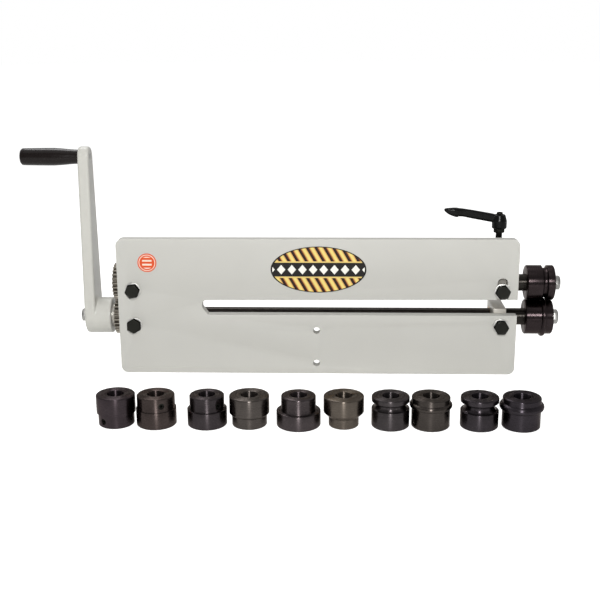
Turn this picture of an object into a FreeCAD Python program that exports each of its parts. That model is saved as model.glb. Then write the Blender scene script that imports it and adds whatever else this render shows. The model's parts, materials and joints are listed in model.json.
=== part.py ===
import FreeCAD, Part
import math
import os
import re

import Sketcher

# Hand cranked bead roller with a deep single plate frame, two geared shafts
# carried in blocks behind the plate, and ten loose forming dies.
#
# Frame of the part, in millimetres: X runs along the plate towards the dies,
# Y runs from the front face of the plate to the shafts behind it, Z is up.
# The origin is the middle of the plate's bottom edge.

DIMENSIONS = [
    # Frame plate
    ("plate_length", 580, "length of the frame plate"),
    ("plate_height", 202, "height of the frame plate"),
    ("plate_thickness", 15, "thickness of the frame plate"),
    ("corner_radius", 10, "outer corners of the plate"),
    ("throat_depth", 457, "depth of the throat from the plate's die end"),
    ("throat_rise", 16.1, "throat's lower edge above the lower shaft's axis"),
    ("throat_height", 22, "height of the throat at its closed end"),
    ("throat_flare", 2, "extra height of the throat at its mouth"),
    ("throat_corner", 7, "upper corner of the closed end"),
    ("throat_bevel_run", 8, "length of the bevel in the closed end"),
    ("throat_bevel_rise", 11, "height of the bevel in the closed end"),
    ("notch_width", 15, "width of the slot the upper die end bolt rises in"),
    ("notch_rise", 19.5, "top of that slot above the upper shaft's axis"),
    ("bench_hole_diameter", 10, "holes that fix the plate to a stand"),
    ("bench_hole_height", 16, "height of the lower hole"),
    ("bench_hole_spacing", 50, "distance between the two holes"),
    # Shafts and their seats
    ("shaft_diameter", 25, "both shafts"),
    ("seat_diameter", 22, "die seat at the end of each shaft"),
    ("shaft_offset", 47.5, "distance of the shafts behind the plate's middle"),
    ("axis_drop", 27.6, "lower shaft's axis below the plate's middle"),
    ("shaft_spacing", 52.6, "distance between the shafts at rest"),
    ("running_gap", 0.05, "radial clearance of a turning or seated fit"),
    ("slide_gap", 0.2, "clearance of the moving blocks along the plate"),
    # Bearing blocks, bushes and bolts
    ("bolt_inset", 22.5, "distance of the bolts from the plate's ends"),
    ("block_length", 19, "bearing block along the shaft"),
    ("block_width", 60, "bearing block from the plate backwards"),
    ("block_above", 23, "bearing block above the shaft's axis"),
    ("block_below", 17, "bearing block below the shaft's axis"),
    ("block_bevel", 1, "broken edges of the blocks"),
    ("bush_diameter", 30, "outside of the bearing bushes"),
    ("bush_flange_diameter", 33, "flange of the bearing bushes"),
    ("bush_flange", 2, "thickness of that flange"),
    ("bolt_diameter", 12, "block bolts and shaft end bolts"),
    ("bolt_hole_gap", 0.5, "radial clearance of the bolts in the plate"),
    ("bolt_grip", 22, "length of the bolt inside a block"),
    ("bolt_end", 28, "length of the shaft end bolts inside a shaft"),
    ("bore_depth", 32, "depth of the threaded bores in the shafts' ends"),
    ("bolt_flats", 19, "width across flats of the bolt heads"),
    ("bolt_head", 7.5, "height of the bolt heads"),
    ("washer_diameter", 24, "washers under the bolt heads"),
    ("washer_thickness", 2.5, "washers under the bolt heads"),
    # Dies on the machine
    ("die_stand_off", 19.7, "inner face of the mounted dies beyond the plate's end"),
    ("die_length", 40.5, "length of every die"),
    ("die_diameter", 52, "plain diameter of the dies"),
    ("die_bevel", 1.2, "broken edges of the dies"),
    ("bead_station", 26.5, "bead and groove from the inner face"),
    ("bead_radius", 3.7, "radius of the bead"),
    ("bead_lift", 3.5, "height of the bead above the die"),
    ("groove_radius", 4, "radius of the groove"),
    ("die_screw_diameter", 8, "set screws of the dies"),
    ("die_screw_station", 9, "set screws from the inner face"),
    ("die_screw_recess", 1.5, "set screws below the surface of the die"),
    # Gears
    ("gear_pitch", 2, "module of the gears"),
    ("gear_teeth", 26, "teeth of each gear"),
    ("gear_width", 20, "face width of the gears"),
    ("gear_boss", 5.2, "boss of the gears beside their teeth"),
    ("gear_boss_diameter", 38, "boss of the gears and shaft collars"),
    ("gear_backlash", 0.3, "thinning of each tooth on the pitch circle"),
    ("key_width", 8, "keys of the gears"),
    ("key_depth", 4, "depth of the keyway in the shaft"),
    ("key_height", 7, "height of the keys"),
    ("shaft_collar_length", 10, "shaft collars behind the rear blocks"),
    # Crank
    ("crank_radius", 240, "crank throw from the shaft to the grip"),
    ("hub_radius", 27, "crank hub and lower end of the arm"),
    ("tip_radius", 15, "upper end of the arm"),
    ("arm_thickness", 16.7, "thickness of the arm"),
    ("arm_round", 3.5, "rounded edges of the arm"),
    ("hub_length", 22.7, "hub beside the arm"),
    ("spacer_length", 4.7, "spacer between the hub and the gear"),
    ("spacer_diameter", 34, "spacer between the hub and the gear"),
    ("crank_bolt_diameter", 10, "bolt that holds the crank"),
    ("crank_bolt_flats", 17, "width across flats of that bolt"),
    ("crank_bolt_head", 6.5, "head of that bolt"),
    ("crank_washer_diameter", 30, "washer of that bolt"),
    ("shaft_recess", 4, "shaft end inside the arm's outer face"),
    # Grip
    ("grip_length", 85, "length of the grip"),
    ("grip_end_radius", 12.5, "grip at its free end"),
    ("grip_swell_radius", 12.9, "grip at its thickest place"),
    ("grip_root_radius", 10.3, "grip at the arm"),
    ("grip_gap", 0.3, "end play of the grip"),
    ("pin_diameter", 10, "pin that the grip spins on"),
    ("pin_head_diameter", 16, "head of that pin"),
    ("pin_head", 4, "head of that pin"),
    ("pin_recess", 5.5, "recess for the head in the grip"),
    # Adjuster
    ("nut_block_length", 28, "threaded block along the plate"),
    ("nut_block_width", 54, "threaded block from the plate backwards"),
    ("nut_block_height", 22, "threaded block"),
    ("nut_block_drop", 12, "top of that block below the plate's top edge"),
    ("weld_leg", 4, "weld beads beside the threaded block"),
    ("screw_diameter", 10, "adjuster screw"),
    ("screw_rise", 6.5, "top of the adjuster screw above the plate"),
    ("screw_tip_diameter", 6, "pin at the screw's lower end"),
    ("screw_tip", 4, "length of that pin"),
    ("foot_diameter", 14, "thrust foot under the screw"),
    ("foot_height", 5, "thrust foot under the screw"),
    ("foot_gap", 0.3, "play of the foot above the bearing block"),
    # Clamping lever
    ("collar_drop", 0.2, "lower face of the lever insert below the plate's top edge"),
    ("collar_length", 8.2, "collar of the lever insert below the lever's seat"),
    ("insert_diameter", 15.8, "collar of the lever insert"),
    ("stem_diameter", 10.5, "stem of the lever insert"),
    ("stem_length", 9.2, "stem of the lever insert above the seat"),
    ("lever_radius", 10.3, "hub of the lever"),
    ("lever_height", 21, "lever hub above the seat"),
    ("lever_reach", 82.5, "length of the lever from the screw's axis"),
    ("cap_screw_diameter", 5, "screw that holds the lever"),
    ("cap_head_diameter", 8.5, "head of that screw"),
    ("cap_head", 3, "head of that screw"),
    ("cap_rise", 0.8, "top of that screw above the lever hub"),
    ("lever_gap", 0.3, "room between the lever and its insert and screw"),
    ("lever_ring", 2, "thickness of the ring inside the lever"),
    ("spring_wire", 0.8, "wire of the lever spring"),
    # Loose dies
    ("rack_row", 207.5, "row of loose dies in front of the plate's middle"),
    # Badges
    ("badge_thickness", 0.4, "both badges"),
    ("oval_length", 138, "oval badge"),
    ("oval_height", 68, "oval badge"),
    ("oval_offset", 2.7, "oval badge right of the middle"),
    ("oval_drop", 44.4, "middle of the oval badge below the plate's top edge"),
    ("round_diameter", 27.5, "round badge"),
    ("round_inset", 44.8, "middle of the round badge from the plate's end"),
    ("round_drop", 34.9, "middle of the round badge below the plate's top edge"),
]

# Sizes that follow from the driving dimensions.
DERIVED = {
    "plate_front": "(-plate_thickness / 2)",
    "plate_back": "(plate_thickness / 2)",
    "bolt_reach": "(plate_length / 2 - bolt_inset)",
    "lower_axis_height": "(plate_height / 2 - axis_drop)",
    "upper_axis_height": "(lower_axis_height + shaft_spacing)",
    "throat_floor": "(lower_axis_height + throat_rise)",
    "shaft_radius": "(shaft_diameter / 2)",
    "seat_radius": "(seat_diameter / 2)",
    "bore_radius": "(seat_diameter / 2 + running_gap)",
    "die_radius": "(die_diameter / 2)",
    "die_start": "(plate_length / 2 + die_stand_off)",
    "die_end": "(die_start + die_length)",
    "gear_inner": "(rear_face + bush_flange + slide_gap + gear_boss)",
    "gear_start": "(gear_inner + gear_width)",
    "rear_face": "(bolt_reach + block_length / 2)",
    "rear_inside": "(bolt_reach - block_length / 2)",
    "hub_outer": "(gear_start + spacer_length)",
    "arm_right": "(gear_start + spacer_length + hub_length)",
    "arm_left": "(gear_start + spacer_length + hub_length + arm_thickness)",
    "crank_axis_height": "(lower_axis_height + crank_radius)",
    "foot_low": "(upper_axis_height + block_above + foot_gap)",
    "screw_top": "(plate_height + screw_rise)",
    "collar_low": "(plate_height - collar_drop)",
    "collar_high": "(collar_low + collar_length)",
    "stem_high": "(collar_high + stem_length)",
    "lever_high": "(collar_high + lever_height)",
    "cap_high": "(lever_high + cap_rise)",
}

# Loose dies from left to right. Stations along X are shares of the plate's
# length, heights are shares of the dies' length, and radii are shares of the
# plain die radius. Each row has its station, the bearing in degrees and the
# height of its set screw or none, the corners of its turned outline from the
# bottom up as height and radius, and a half round ring or none. The last
# radius goes on to the top. A ring has its height, its own radius, the
# distance of its centre from the axis, and its kind.
LOOSE_DIES = [
    ("loose_die_01_step_top", -0.441, (236, 0.21), [(0, 0.885), (0.415, 0.885), (0.415, 0.962)], None),
    ("loose_die_02_step_low", -0.351, (296, 0.765), [(0, 0.992), (0.556, 0.992), (0.556, 0.935)], None),
    ("loose_die_03_step_low", -0.2374, (317, 0.728), [(0, 0.981), (0.543, 0.981), (0.543, 0.858)], None),
    ("loose_die_04_rim_top", -0.1431, None, [(0, 0.865), (0.346, 0.865), (0.42, 0.992)], None),
    ("loose_die_05_flange_low", -0.0341, None, [(0, 1.096), (0.494, 1.096), (0.494, 0.858)], None),
    ("loose_die_06_rim_top", 0.066, None, [(0, 0.746), (0.309, 0.746), (0.469, 1)], None),
    ("loose_die_07_groove_small", 0.1691, None, [(0, 0.935)], (0.716, 0.177, 0.935, "groove")),
    ("loose_die_08_bead_small", 0.2578, (210, 0.222), [(0, 0.946)], (0.716, 0.15, 0.9, "bead")),
    ("loose_die_09_groove_large", 0.3647, None, [(0, 0.938)], (0.691, 0.215, 0.938, "groove")),
    ("loose_die_10_bead_large", 0.4567, None, [(0, 0.942)], (0.691, 0.188, 0.9, "bead")),
]

INVOLUTE_ANGLE = math.radians(20)
HEX = 2 / math.sqrt(3)

document = FreeCAD.newDocument("BeadRoller")
sheet = document.addObject("Spreadsheet::Sheet", "Dimensions")
for row, (alias, size, note) in enumerate(DIMENSIONS, start=1):
    sheet.set(f"A{row}", note)
    sheet.set(f"B{row}", str(size))
    sheet.setAlias(f"B{row}", alias)
document.recompute()

ALIASES = {alias for alias, size, note in DIMENSIONS}
exported = []


def expanded(text):
    """Write a formula with its derived names replaced by driving ones."""
    previous = None
    text = str(text)
    while text != previous:
        previous = text
        text = re.sub(r"[a-z_]+", lambda word: DERIVED.get(word.group(0), word.group(0)), text)
    return text


def formula(text):
    """Write a formula as other objects of the document refer to the sheet."""
    return re.sub(
        r"[a-z_]+",
        lambda word: f"Dimensions.{word.group(0)}" if word.group(0) in ALIASES else word.group(0),
        expanded(text),
    )


def size_of(text):
    """Value of a formula in millimetres."""
    return float(sheet.evalExpression(expanded(text)))


def bind(item, attribute, text):
    item.setExpression(attribute, formula(text))


def new_body(label, place=("0", "0", "0"), turn=None):
    """Body of one sub-part, with its own placement bound to the sheet."""
    body = document.addObject("PartDesign::Body", label)
    body.Label = label
    if turn is not None:
        body.Placement = FreeCAD.Placement(FreeCAD.Vector(), turn)
    for axis, text in zip("xyz", place):
        if text != "0":
            bind(body, f"Placement.Base.{axis}", text)
    exported.append(body)
    return body


def new_sketch(body, plane, offset=None):
    """Sketch on one of the body's own origin planes."""
    sketch = body.newObject("Sketcher::SketchObject", f"{body.Name}_sketch")
    support = next(item for item in body.Origin.OriginFeatures if item.Role == plane)
    sketch.AttachmentSupport = (support, [""])
    sketch.MapMode = "FlatFace"
    if offset is not None:
        bind(sketch, "AttachmentOffset.Base.z", offset)
    return sketch


def place_point(sketch, index, position, across, up):
    """Hold one point of a sketch at two formulas measured from its origin."""
    for kind, text in (("DistanceX", across), ("DistanceY", up)):
        number = sketch.addConstraint(
            Sketcher.Constraint(kind, -1, 1, index, position, size_of(text))
        )
        bind(sketch, f"Constraints[{number}]", text)


def draw_loop(sketch, corners):
    """Closed outline. A corner is a pair of formulas, or it adds the centre
    of the arc that leads to it and the arc's turn, 1 against the clock."""
    count = len(corners)
    points = [FreeCAD.Vector(size_of(corner[0]), size_of(corner[1]), 0) for corner in corners]
    edges = []
    for number in range(count):
        start = points[number - 1]
        end = points[number]
        corner = corners[number]
        if len(corner) == 2:
            index = sketch.addGeometry(Part.LineSegment(start, end))
            edges.append((index, 1, 2))
            continue
        centre = FreeCAD.Vector(size_of(corner[2]), size_of(corner[3]), 0)
        circle = Part.Circle(centre, FreeCAD.Vector(0, 0, 1), (start - centre).Length)
        first, second = (start, end) if corner[4] > 0 else (end, start)
        begin = math.atan2(first.y - centre.y, first.x - centre.x)
        finish = math.atan2(second.y - centre.y, second.x - centre.x)
        if finish <= begin:
            finish += 2 * math.pi
        index = sketch.addGeometry(Part.ArcOfCircle(circle, begin, finish))
        edges.append((index, 1, 2) if corner[4] > 0 else (index, 2, 1))
        chord = end - start
        kind, text = ("DistanceY", corner[3]) if abs(chord.x) >= abs(chord.y) else ("DistanceX", corner[2])
        held = sketch.addConstraint(Sketcher.Constraint(kind, -1, 1, index, 3, size_of(text)))
        bind(sketch, f"Constraints[{held}]", text)
    for number in range(count):
        index, start_of, end_of = edges[number]
        following, following_start, following_end = edges[(number + 1) % count]
        sketch.addConstraint(
            Sketcher.Constraint("Coincident", index, end_of, following, following_start)
        )
        place_point(sketch, index, end_of, corners[number][0], corners[number][1])


def draw_circle(sketch, across, up, radius):
    """Circle with its centre and radius bound to the sheet."""
    centre = FreeCAD.Vector(size_of(across), size_of(up), 0)
    index = sketch.addGeometry(Part.Circle(centre, FreeCAD.Vector(0, 0, 1), size_of(radius)))
    number = sketch.addConstraint(Sketcher.Constraint("Radius", index, size_of(radius)))
    bind(sketch, f"Constraints[{number}]", radius)
    place_point(sketch, index, 3, across, up)


def pad(body, sketch, length, backwards=False):
    """Prism from a sketch, along the sketch's normal unless backwards."""
    feature = body.newObject("PartDesign::Pad", f"{body.Name}_pad")
    feature.Profile = sketch
    feature.Reversed = backwards
    bind(feature, "Length", length)
    return feature


def turn_about(body, sketch, kind, axis="H_Axis"):
    """Revolution or Groove about an axis of its sketch."""
    feature = body.newObject(f"PartDesign::{kind}", f"{body.Name}_{kind.lower()}")
    feature.Profile = sketch
    feature.ReferenceAxis = (sketch, [axis])
    feature.Angle = 360
    return feature


def cut(body, sketch, length, backwards=False):
    """Pocket of a bound depth, checked to take material away."""
    before = volume_of(body)
    feature = body.newObject("PartDesign::Pocket", f"{body.Name}_pocket")
    feature.Profile = sketch
    feature.Reversed = backwards
    bind(feature, "Length", length)
    document.recompute()
    if body.Shape.Volume > before - 0.01:
        raise RuntimeError(f"a pocket of {body.Label} cuts nothing")
    return feature


def volume_of(body):
    document.recompute()
    return body.Shape.Volume


def turned(label, corners, place=("0", "0", "0"), turn=None):
    """Turned piece whose outline is given as distance along its axis and radius."""
    body = new_body(label, place, turn)
    sketch = new_sketch(body, "XY_Plane")
    draw_loop(sketch, corners)
    turn_about(body, sketch, "Revolution")
    return body


def dress_edges(body, kind, attribute, size, wanted):
    """Fillet or chamfer on the edges that a test picks."""
    document.recompute()
    base = body.Tip
    names = [f"Edge{i}" for i, edge in enumerate(base.Shape.Edges, start=1) if wanted(edge)]
    feature = body.newObject(f"PartDesign::{kind}", f"{body.Name}_{kind.lower()}")
    feature.Base = (base, names)
    bind(feature, attribute, size)
    return feature


def is_straight(edge):
    return isinstance(edge.Curve, Part.Line)


def runs_along(edge, direction):
    """Tell whether an edge is straight and parallel to a direction."""
    if not is_straight(edge):
        return False
    return edge.tangentAt(edge.FirstParameter).cross(direction).Length < 1e-6


def hexagon(flats, turn_degrees=0):
    """Six corners of a hexagon with a width across flats."""
    corners = []
    for side in range(6):
        angle = math.radians(60 * side + turn_degrees)
        across = HEX / 2 * math.cos(angle)
        up = HEX / 2 * math.sin(angle)
        corners.append((f"{across:.6f} * {flats}", f"{up:.6f} * {flats}"))
    return corners


ALONG_Y = FreeCAD.Rotation(FreeCAD.Vector(0, 0, 1), 90)
ALONG_Z = FreeCAD.Rotation(FreeCAD.Vector(0, 1, 0), -90)
BACK_ALONG_X = FreeCAD.Rotation(FreeCAD.Vector(0, 0, 1), 180)


def hex_bolt(body, diameter, length, flats, head):
    """Hexagon bolt along the body's X axis, with its seat at zero."""
    sketch = new_sketch(body, "XY_Plane")
    tip = f"({length})"
    draw_loop(sketch, [
        ("0", "0"),
        (tip, "0"),
        (tip, f"{diameter} / 2 - 1"),
        (f"{tip} - 1", f"{diameter} / 2"),
        ("0", f"{diameter} / 2"),
    ])
    shank = turn_about(body, sketch, "Revolution")
    sketch = new_sketch(body, "YZ_Plane")
    draw_loop(sketch, hexagon(flats))
    prism = pad(body, sketch, head, backwards=True)
    sketch = new_sketch(body, "XY_Plane")
    draw_loop(sketch, [
        (f"-{head}", f"{flats} * 0.47"),
        (f"-{head} + {flats} * 0.08", f"{flats} * 0.61"),
        (f"-{head} - 1", f"{flats} * 0.61"),
        (f"-{head} - 1", f"{flats} * 0.47"),
    ])
    bevel = turn_about(body, sketch, "Groove")
    return [shank, prism, bevel]


def repeat_towards_crank(body, features):
    """Second copy at the other end of the plate, on the body's Y axis."""
    pattern = body.newObject("PartDesign::LinearPattern", f"{body.Name}_pattern")
    pattern.Originals = features
    axis = next(item for item in body.Origin.OriginFeatures if item.Role == "Y_Axis")
    pattern.Direction = (axis, [""])
    pattern.Occurrences = 2
    bind(pattern, "Length", "2 * bolt_reach")
    body.Tip = pattern
    return pattern


def frame_plate():
    """Flat plate with the long throat, the bolt slot and its holes."""
    body = new_body("frame_plate", ("0", "plate_back", "0"))
    sketch = new_sketch(body, "XZ_Plane")
    right = "plate_length / 2"
    closed = "(plate_length / 2 - throat_depth)"
    level = "(throat_floor + throat_height)"
    slot_level = "(throat_floor + throat_height + throat_flare * (1 - bolt_inset / throat_depth))"
    slot_left = "(bolt_reach - notch_width / 2)"
    slot_right = "(bolt_reach + notch_width / 2)"
    slot_centre = "(upper_axis_height + notch_rise - notch_width / 2)"
    draw_loop(sketch, [
        ("-plate_length / 2", "0"),
        (right, "0"),
        (right, "throat_floor"),
        (f"{closed} + throat_bevel_run", "throat_floor"),
        (closed, "throat_floor + throat_bevel_rise"),
        (closed, f"{level} - throat_corner"),
        (f"{closed} + throat_corner", level, f"{closed} + throat_corner", f"{level} - throat_corner", -1),
        (slot_left, slot_level),
        (slot_left, slot_centre),
        (slot_right, slot_centre, "bolt_reach", slot_centre, -1),
        (slot_right, slot_level),
        (right, f"{level} + throat_flare"),
        (right, "plate_height"),
        ("-plate_length / 2", "plate_height"),
    ])
    bolt_hole = "bolt_diameter / 2 + bolt_hole_gap"
    draw_circle(sketch, "-bolt_reach", "upper_axis_height", bolt_hole)
    draw_circle(sketch, "-bolt_reach", "lower_axis_height", bolt_hole)
    draw_circle(sketch, "bolt_reach", "lower_axis_height", bolt_hole)
    draw_circle(sketch, "0", "bench_hole_height", "bench_hole_diameter / 2")
    draw_circle(sketch, "0", "bench_hole_height + bench_hole_spacing", "bench_hole_diameter / 2")
    pad(body, sketch, "plate_thickness")
    half_length = size_of("plate_length / 2")
    height = size_of("plate_height")

    def at_outer_corner(edge):
        middle = edge.CenterOfMass
        at_end = abs(abs(middle.x) - half_length) < 0.01
        at_level = abs(middle.z) < 0.01 or abs(middle.z - height) < 0.01
        return runs_along(edge, FreeCAD.Vector(0, 1, 0)) and at_end and at_level

    dress_edges(body, "Fillet", "Radius", "corner_radius", at_outer_corner)
    return body


def bearing_block(label, side, height, gap):
    """Block behind the plate, bored for its bush and drilled for its bolt."""
    body = new_body(label, (f"{side} * bolt_reach - block_length / 2", f"plate_back + {gap}", height))
    centre = "(shaft_offset - plate_back)"
    sketch = new_sketch(body, "YZ_Plane")
    draw_loop(sketch, [
        ("0", "-block_below"),
        ("block_width", "-block_below"),
        ("block_width", "block_above"),
        ("0", "block_above"),
    ])
    pad(body, sketch, "block_length")
    dress_edges(body, "Chamfer", "Size", "block_bevel", is_straight)
    document.recompute()
    sketch = new_sketch(body, "YZ_Plane")
    draw_circle(sketch, f"{centre} - {gap}", "0", "bush_diameter / 2")
    cut(body, sketch, "block_length", backwards=True)
    sketch = new_sketch(body, "XZ_Plane")
    draw_circle(sketch, "block_length / 2", "0", "bolt_diameter / 2 + running_gap")
    cut(body, sketch, "bolt_grip")
    return body


def bearing_bush(label, side, height):
    """Flanged bush, its flange on the side of the block that faces outwards."""
    turn = None if side > 0 else BACK_ALONG_X
    return turned(label, [
        ("-block_length / 2", "shaft_radius + running_gap"),
        ("-block_length / 2", "bush_diameter / 2"),
        ("block_length / 2", "bush_diameter / 2"),
        ("block_length / 2", "bush_flange_diameter / 2"),
        ("block_length / 2 + bush_flange", "bush_flange_diameter / 2"),
        ("block_length / 2 + bush_flange", "shaft_radius + running_gap"),
    ], (f"{side} * bolt_reach", "shaft_offset", height), turn)


def block_bolts(label, height, gap):
    """Two hexagon bolts through the plate into their blocks."""
    body = new_body(label, ("bolt_reach", f"plate_front - washer_thickness - {gap}", height), ALONG_Y)
    reach = "washer_thickness + plate_thickness + bolt_grip - 1"
    features = hex_bolt(body, "bolt_diameter", reach, "bolt_flats", "bolt_head")
    repeat_towards_crank(body, features)
    return body


def block_washers(label, height, gap):
    """Two flat washers under those bolts."""
    body = new_body(label, ("bolt_reach", f"plate_front - washer_thickness - {gap}", height), ALONG_Y)
    sketch = new_sketch(body, "YZ_Plane")
    draw_circle(sketch, "0", "0", "washer_diameter / 2")
    draw_circle(sketch, "0", "0", "bolt_diameter / 2 + bolt_hole_gap")
    disc = pad(body, sketch, "washer_thickness")
    repeat_towards_crank(body, [disc])
    return body


def keyway(body, inner, outer, level, height):
    """Keyway on the upper side of a piece along X, from one station to another."""
    sketch = new_sketch(body, "XY_Plane", level)
    draw_loop(sketch, [
        (inner, "-key_width / 2"),
        (outer, "-key_width / 2"),
        (outer, "key_width / 2"),
        (inner, "key_width / 2"),
    ])
    cut(body, sketch, height, backwards=True)


def shaft(label, height, left, tail_bore):
    """Shaft with a smaller seat for its die, bored for its end bolts."""
    corners = [
        (left, "shaft_radius - 1"),
        (f"{left} + 1", "shaft_radius"),
        ("die_start", "shaft_radius"),
        ("die_start", "seat_radius"),
        ("die_end - 1.5", "seat_radius"),
        ("die_end - 0.5", "seat_radius - 1"),
        ("die_end - 0.5", "bolt_diameter / 2 + running_gap"),
        ("die_end - bore_depth", "bolt_diameter / 2 + running_gap"),
        ("die_end - bore_depth", "0"),
    ]
    if tail_bore:
        corners += [
            (f"{left} + bolt_end", "0"),
            (f"{left} + bolt_end", "crank_bolt_diameter / 2 + running_gap"),
            (left, "crank_bolt_diameter / 2 + running_gap"),
        ]
    else:
        corners += [(left, "0")]
    body = turned(label, corners, ("0", "shaft_offset", height))
    keyway(body, "-gear_start", "-gear_inner", "shaft_radius - key_depth", "key_depth + 1")
    return body


def tooth_space(teeth, pitch, backlash, turn_angle):
    """Outline of one tooth space: root, involute flanks as arcs, open top."""
    pitch_radius = teeth * pitch / 2
    base_radius = pitch_radius * math.cos(INVOLUTE_ANGLE)
    tip_radius = pitch_radius + pitch
    root_radius = pitch_radius - 1.25 * pitch
    involute = math.tan(INVOLUTE_ANGLE) - INVOLUTE_ANGLE
    half_tooth = (math.pi * pitch / 2 - backlash) / (2 * pitch_radius)

    def half_space(radius):
        lean = math.acos(min(1.0, base_radius / radius))
        return math.pi / teeth - (half_tooth + involute - (math.tan(lean) - lean))

    def point(radius, side):
        angle = turn_angle + side * half_space(max(radius, base_radius))
        return FreeCAD.Vector(radius * math.cos(angle), radius * math.sin(angle), 0)

    middle_radius = (base_radius + tip_radius) / 2
    outer_radius = tip_radius + pitch / 2
    right = [point(radius, -1) for radius in (root_radius, base_radius, middle_radius, tip_radius)]
    left = [point(radius, 1) for radius in (root_radius, base_radius, middle_radius, tip_radius)]
    right_out = right[3] * (outer_radius / tip_radius)
    left_out = left[3] * (outer_radius / tip_radius)
    return [
        Part.LineSegment(right[0], right[1]),
        Part.Arc(right[1], right[2], right[3]),
        Part.LineSegment(right[3], right_out),
        Part.LineSegment(right_out, left_out),
        Part.LineSegment(left_out, left[3]),
        Part.Arc(left[3], left[2], left[1]),
        Part.LineSegment(left[1], left[0]),
        Part.LineSegment(left[0], right[0]),
    ]


def gear(label, height, turn_angle):
    """Spur gear with a boss and a keyway, cut tooth space by tooth space."""
    body = new_body(label, ("-gear_start", "shaft_offset", height))
    tip = "gear_pitch * (gear_teeth / 2 + 1)"
    bore = "shaft_radius + running_gap"
    boss_end = "(gear_width + gear_boss)"
    sketch = new_sketch(body, "XY_Plane")
    draw_loop(sketch, [
        ("0", bore),
        (boss_end, bore),
        (boss_end, "gear_boss_diameter / 2"),
        ("gear_width", "gear_boss_diameter / 2"),
        ("gear_width", f"{tip} - 0.6"),
        ("gear_width - 0.6", tip),
        ("0.6", tip),
        ("0", f"{tip} - 0.6"),
    ])
    turn_about(body, sketch, "Revolution")
    sketch = new_sketch(body, "YZ_Plane")
    draw_loop(sketch, [
        ("-key_width / 2", "0"),
        ("key_width / 2", "0"),
        ("key_width / 2", "shaft_radius - key_depth + key_height + running_gap"),
        ("-key_width / 2", "shaft_radius - key_depth + key_height + running_gap"),
    ])
    cut(body, sketch, boss_end, backwards=True)
    sketch = new_sketch(body, "YZ_Plane")
    teeth = round(size_of("gear_teeth"))
    lines = tooth_space(teeth, size_of("gear_pitch"), size_of("gear_backlash"), math.radians(turn_angle))
    join_lines(sketch, lines)
    space = cut(body, sketch, "gear_width", backwards=True)
    pattern = body.newObject("PartDesign::PolarPattern", f"{label}_pattern")
    pattern.Originals = [space]
    axis = next(item for item in body.Origin.OriginFeatures if item.Role == "X_Axis")
    pattern.Axis = (axis, [""])
    pattern.Angle = 360
    bind(pattern, "Occurrences", "gear_teeth")
    body.Tip = pattern
    return body


def join_lines(sketch, lines):
    """Add a closed chain of lines and arcs and join each end to the next."""
    indices = [sketch.addGeometry(line) for line in lines]
    for number, index in enumerate(indices):
        following = indices[(number + 1) % len(indices)]
        pairs = [(first, second) for first in (1, 2) for second in (1, 2)]
        first, second = min(
            pairs,
            key=lambda pair: (sketch.getPoint(index, pair[0]) - sketch.getPoint(following, pair[1])).Length,
        )
        sketch.addConstraint(Sketcher.Constraint("Coincident", index, first, following, second))


def ring(label, start, length, inner, outer, height):
    """Plain ring around a shaft."""
    return turned(label, [
        ("0", inner),
        (length, inner),
        (length, outer),
        ("0", outer),
    ], (start, "shaft_offset", height))


def gear_key(label, height):
    """Square ended key between a shaft and its gear."""
    body = new_body(label, ("-gear_start", "shaft_offset", f"{height} + shaft_radius - key_depth"))
    sketch = new_sketch(body, "YZ_Plane")
    draw_loop(sketch, [
        ("-key_width / 2", "0"),
        ("key_width / 2", "0"),
        ("key_width / 2", "key_height"),
        ("-key_width / 2", "key_height"),
    ])
    pad(body, sketch, "gear_width")
    return body


def die_outline(corners, half_ring, centre_level, station, level, direction):
    """Put a half round ring into the outline of a die, from right to left."""
    return corners + [
        (f"{station} + {half_ring}", level),
        (f"{station} - {half_ring}", level, station, centre_level, direction),
    ]


def mounted_die(label, height, has_bead):
    """Die on its seat, with the bead or the groove that meets it."""
    station = "(die_start + bead_station)"
    corners = [
        ("die_start", "bore_radius"),
        ("die_end", "bore_radius"),
        ("die_end", "die_radius - die_bevel"),
        ("die_end - die_bevel", "die_radius"),
    ]
    if has_bead:
        depth = "(bead_radius - bead_lift)"
        half = f"sqrt(bead_radius * bead_radius - {depth} * {depth})"
        corners = die_outline(corners, half, "die_radius + bead_lift - bead_radius", station, "die_radius", 1)
    else:
        corners = die_outline(corners, "groove_radius", "die_radius", station, "die_radius", -1)
    corners += [
        ("die_start + die_bevel", "die_radius"),
        ("die_start", "die_radius - die_bevel"),
    ]
    body = turned(label, corners, ("0", "shaft_offset", height))
    sketch = new_sketch(body, "XZ_Plane")
    draw_circle(sketch, "die_start + die_screw_station", "0", "die_screw_diameter / 2 + running_gap")
    cut(body, sketch, "die_radius + 1")
    return body


def die_screw(label, height):
    """Set screw at the back of a mounted die."""
    place = ("die_start + die_screw_station", "shaft_offset", height)
    return turned(label, screw_outline("die_radius - die_screw_recess"), place, ALONG_Y)


def screw_outline(outer):
    """Set screw from the shaft's seat out to just inside the die's surface."""
    return [
        ("seat_radius + running_gap", "0"),
        (outer, "0"),
        (outer, "die_screw_diameter / 2"),
        ("seat_radius + running_gap + 1", "die_screw_diameter / 2"),
        ("seat_radius + running_gap", "die_screw_diameter / 2 - 1"),
    ]


def end_fixing(prefix, height):
    """Washer and hexagon bolt that hold a die on its shaft."""
    ring(f"{prefix}_end_washer", "die_end", "washer_thickness",
         "bolt_diameter / 2 + bolt_hole_gap", "washer_diameter / 2", height)
    body = new_body(f"{prefix}_end_bolt", ("die_end + washer_thickness", "shaft_offset", height), BACK_ALONG_X)
    hex_bolt(body, "bolt_diameter", "washer_thickness + bolt_end", "bolt_flats", "bolt_head")


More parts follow.
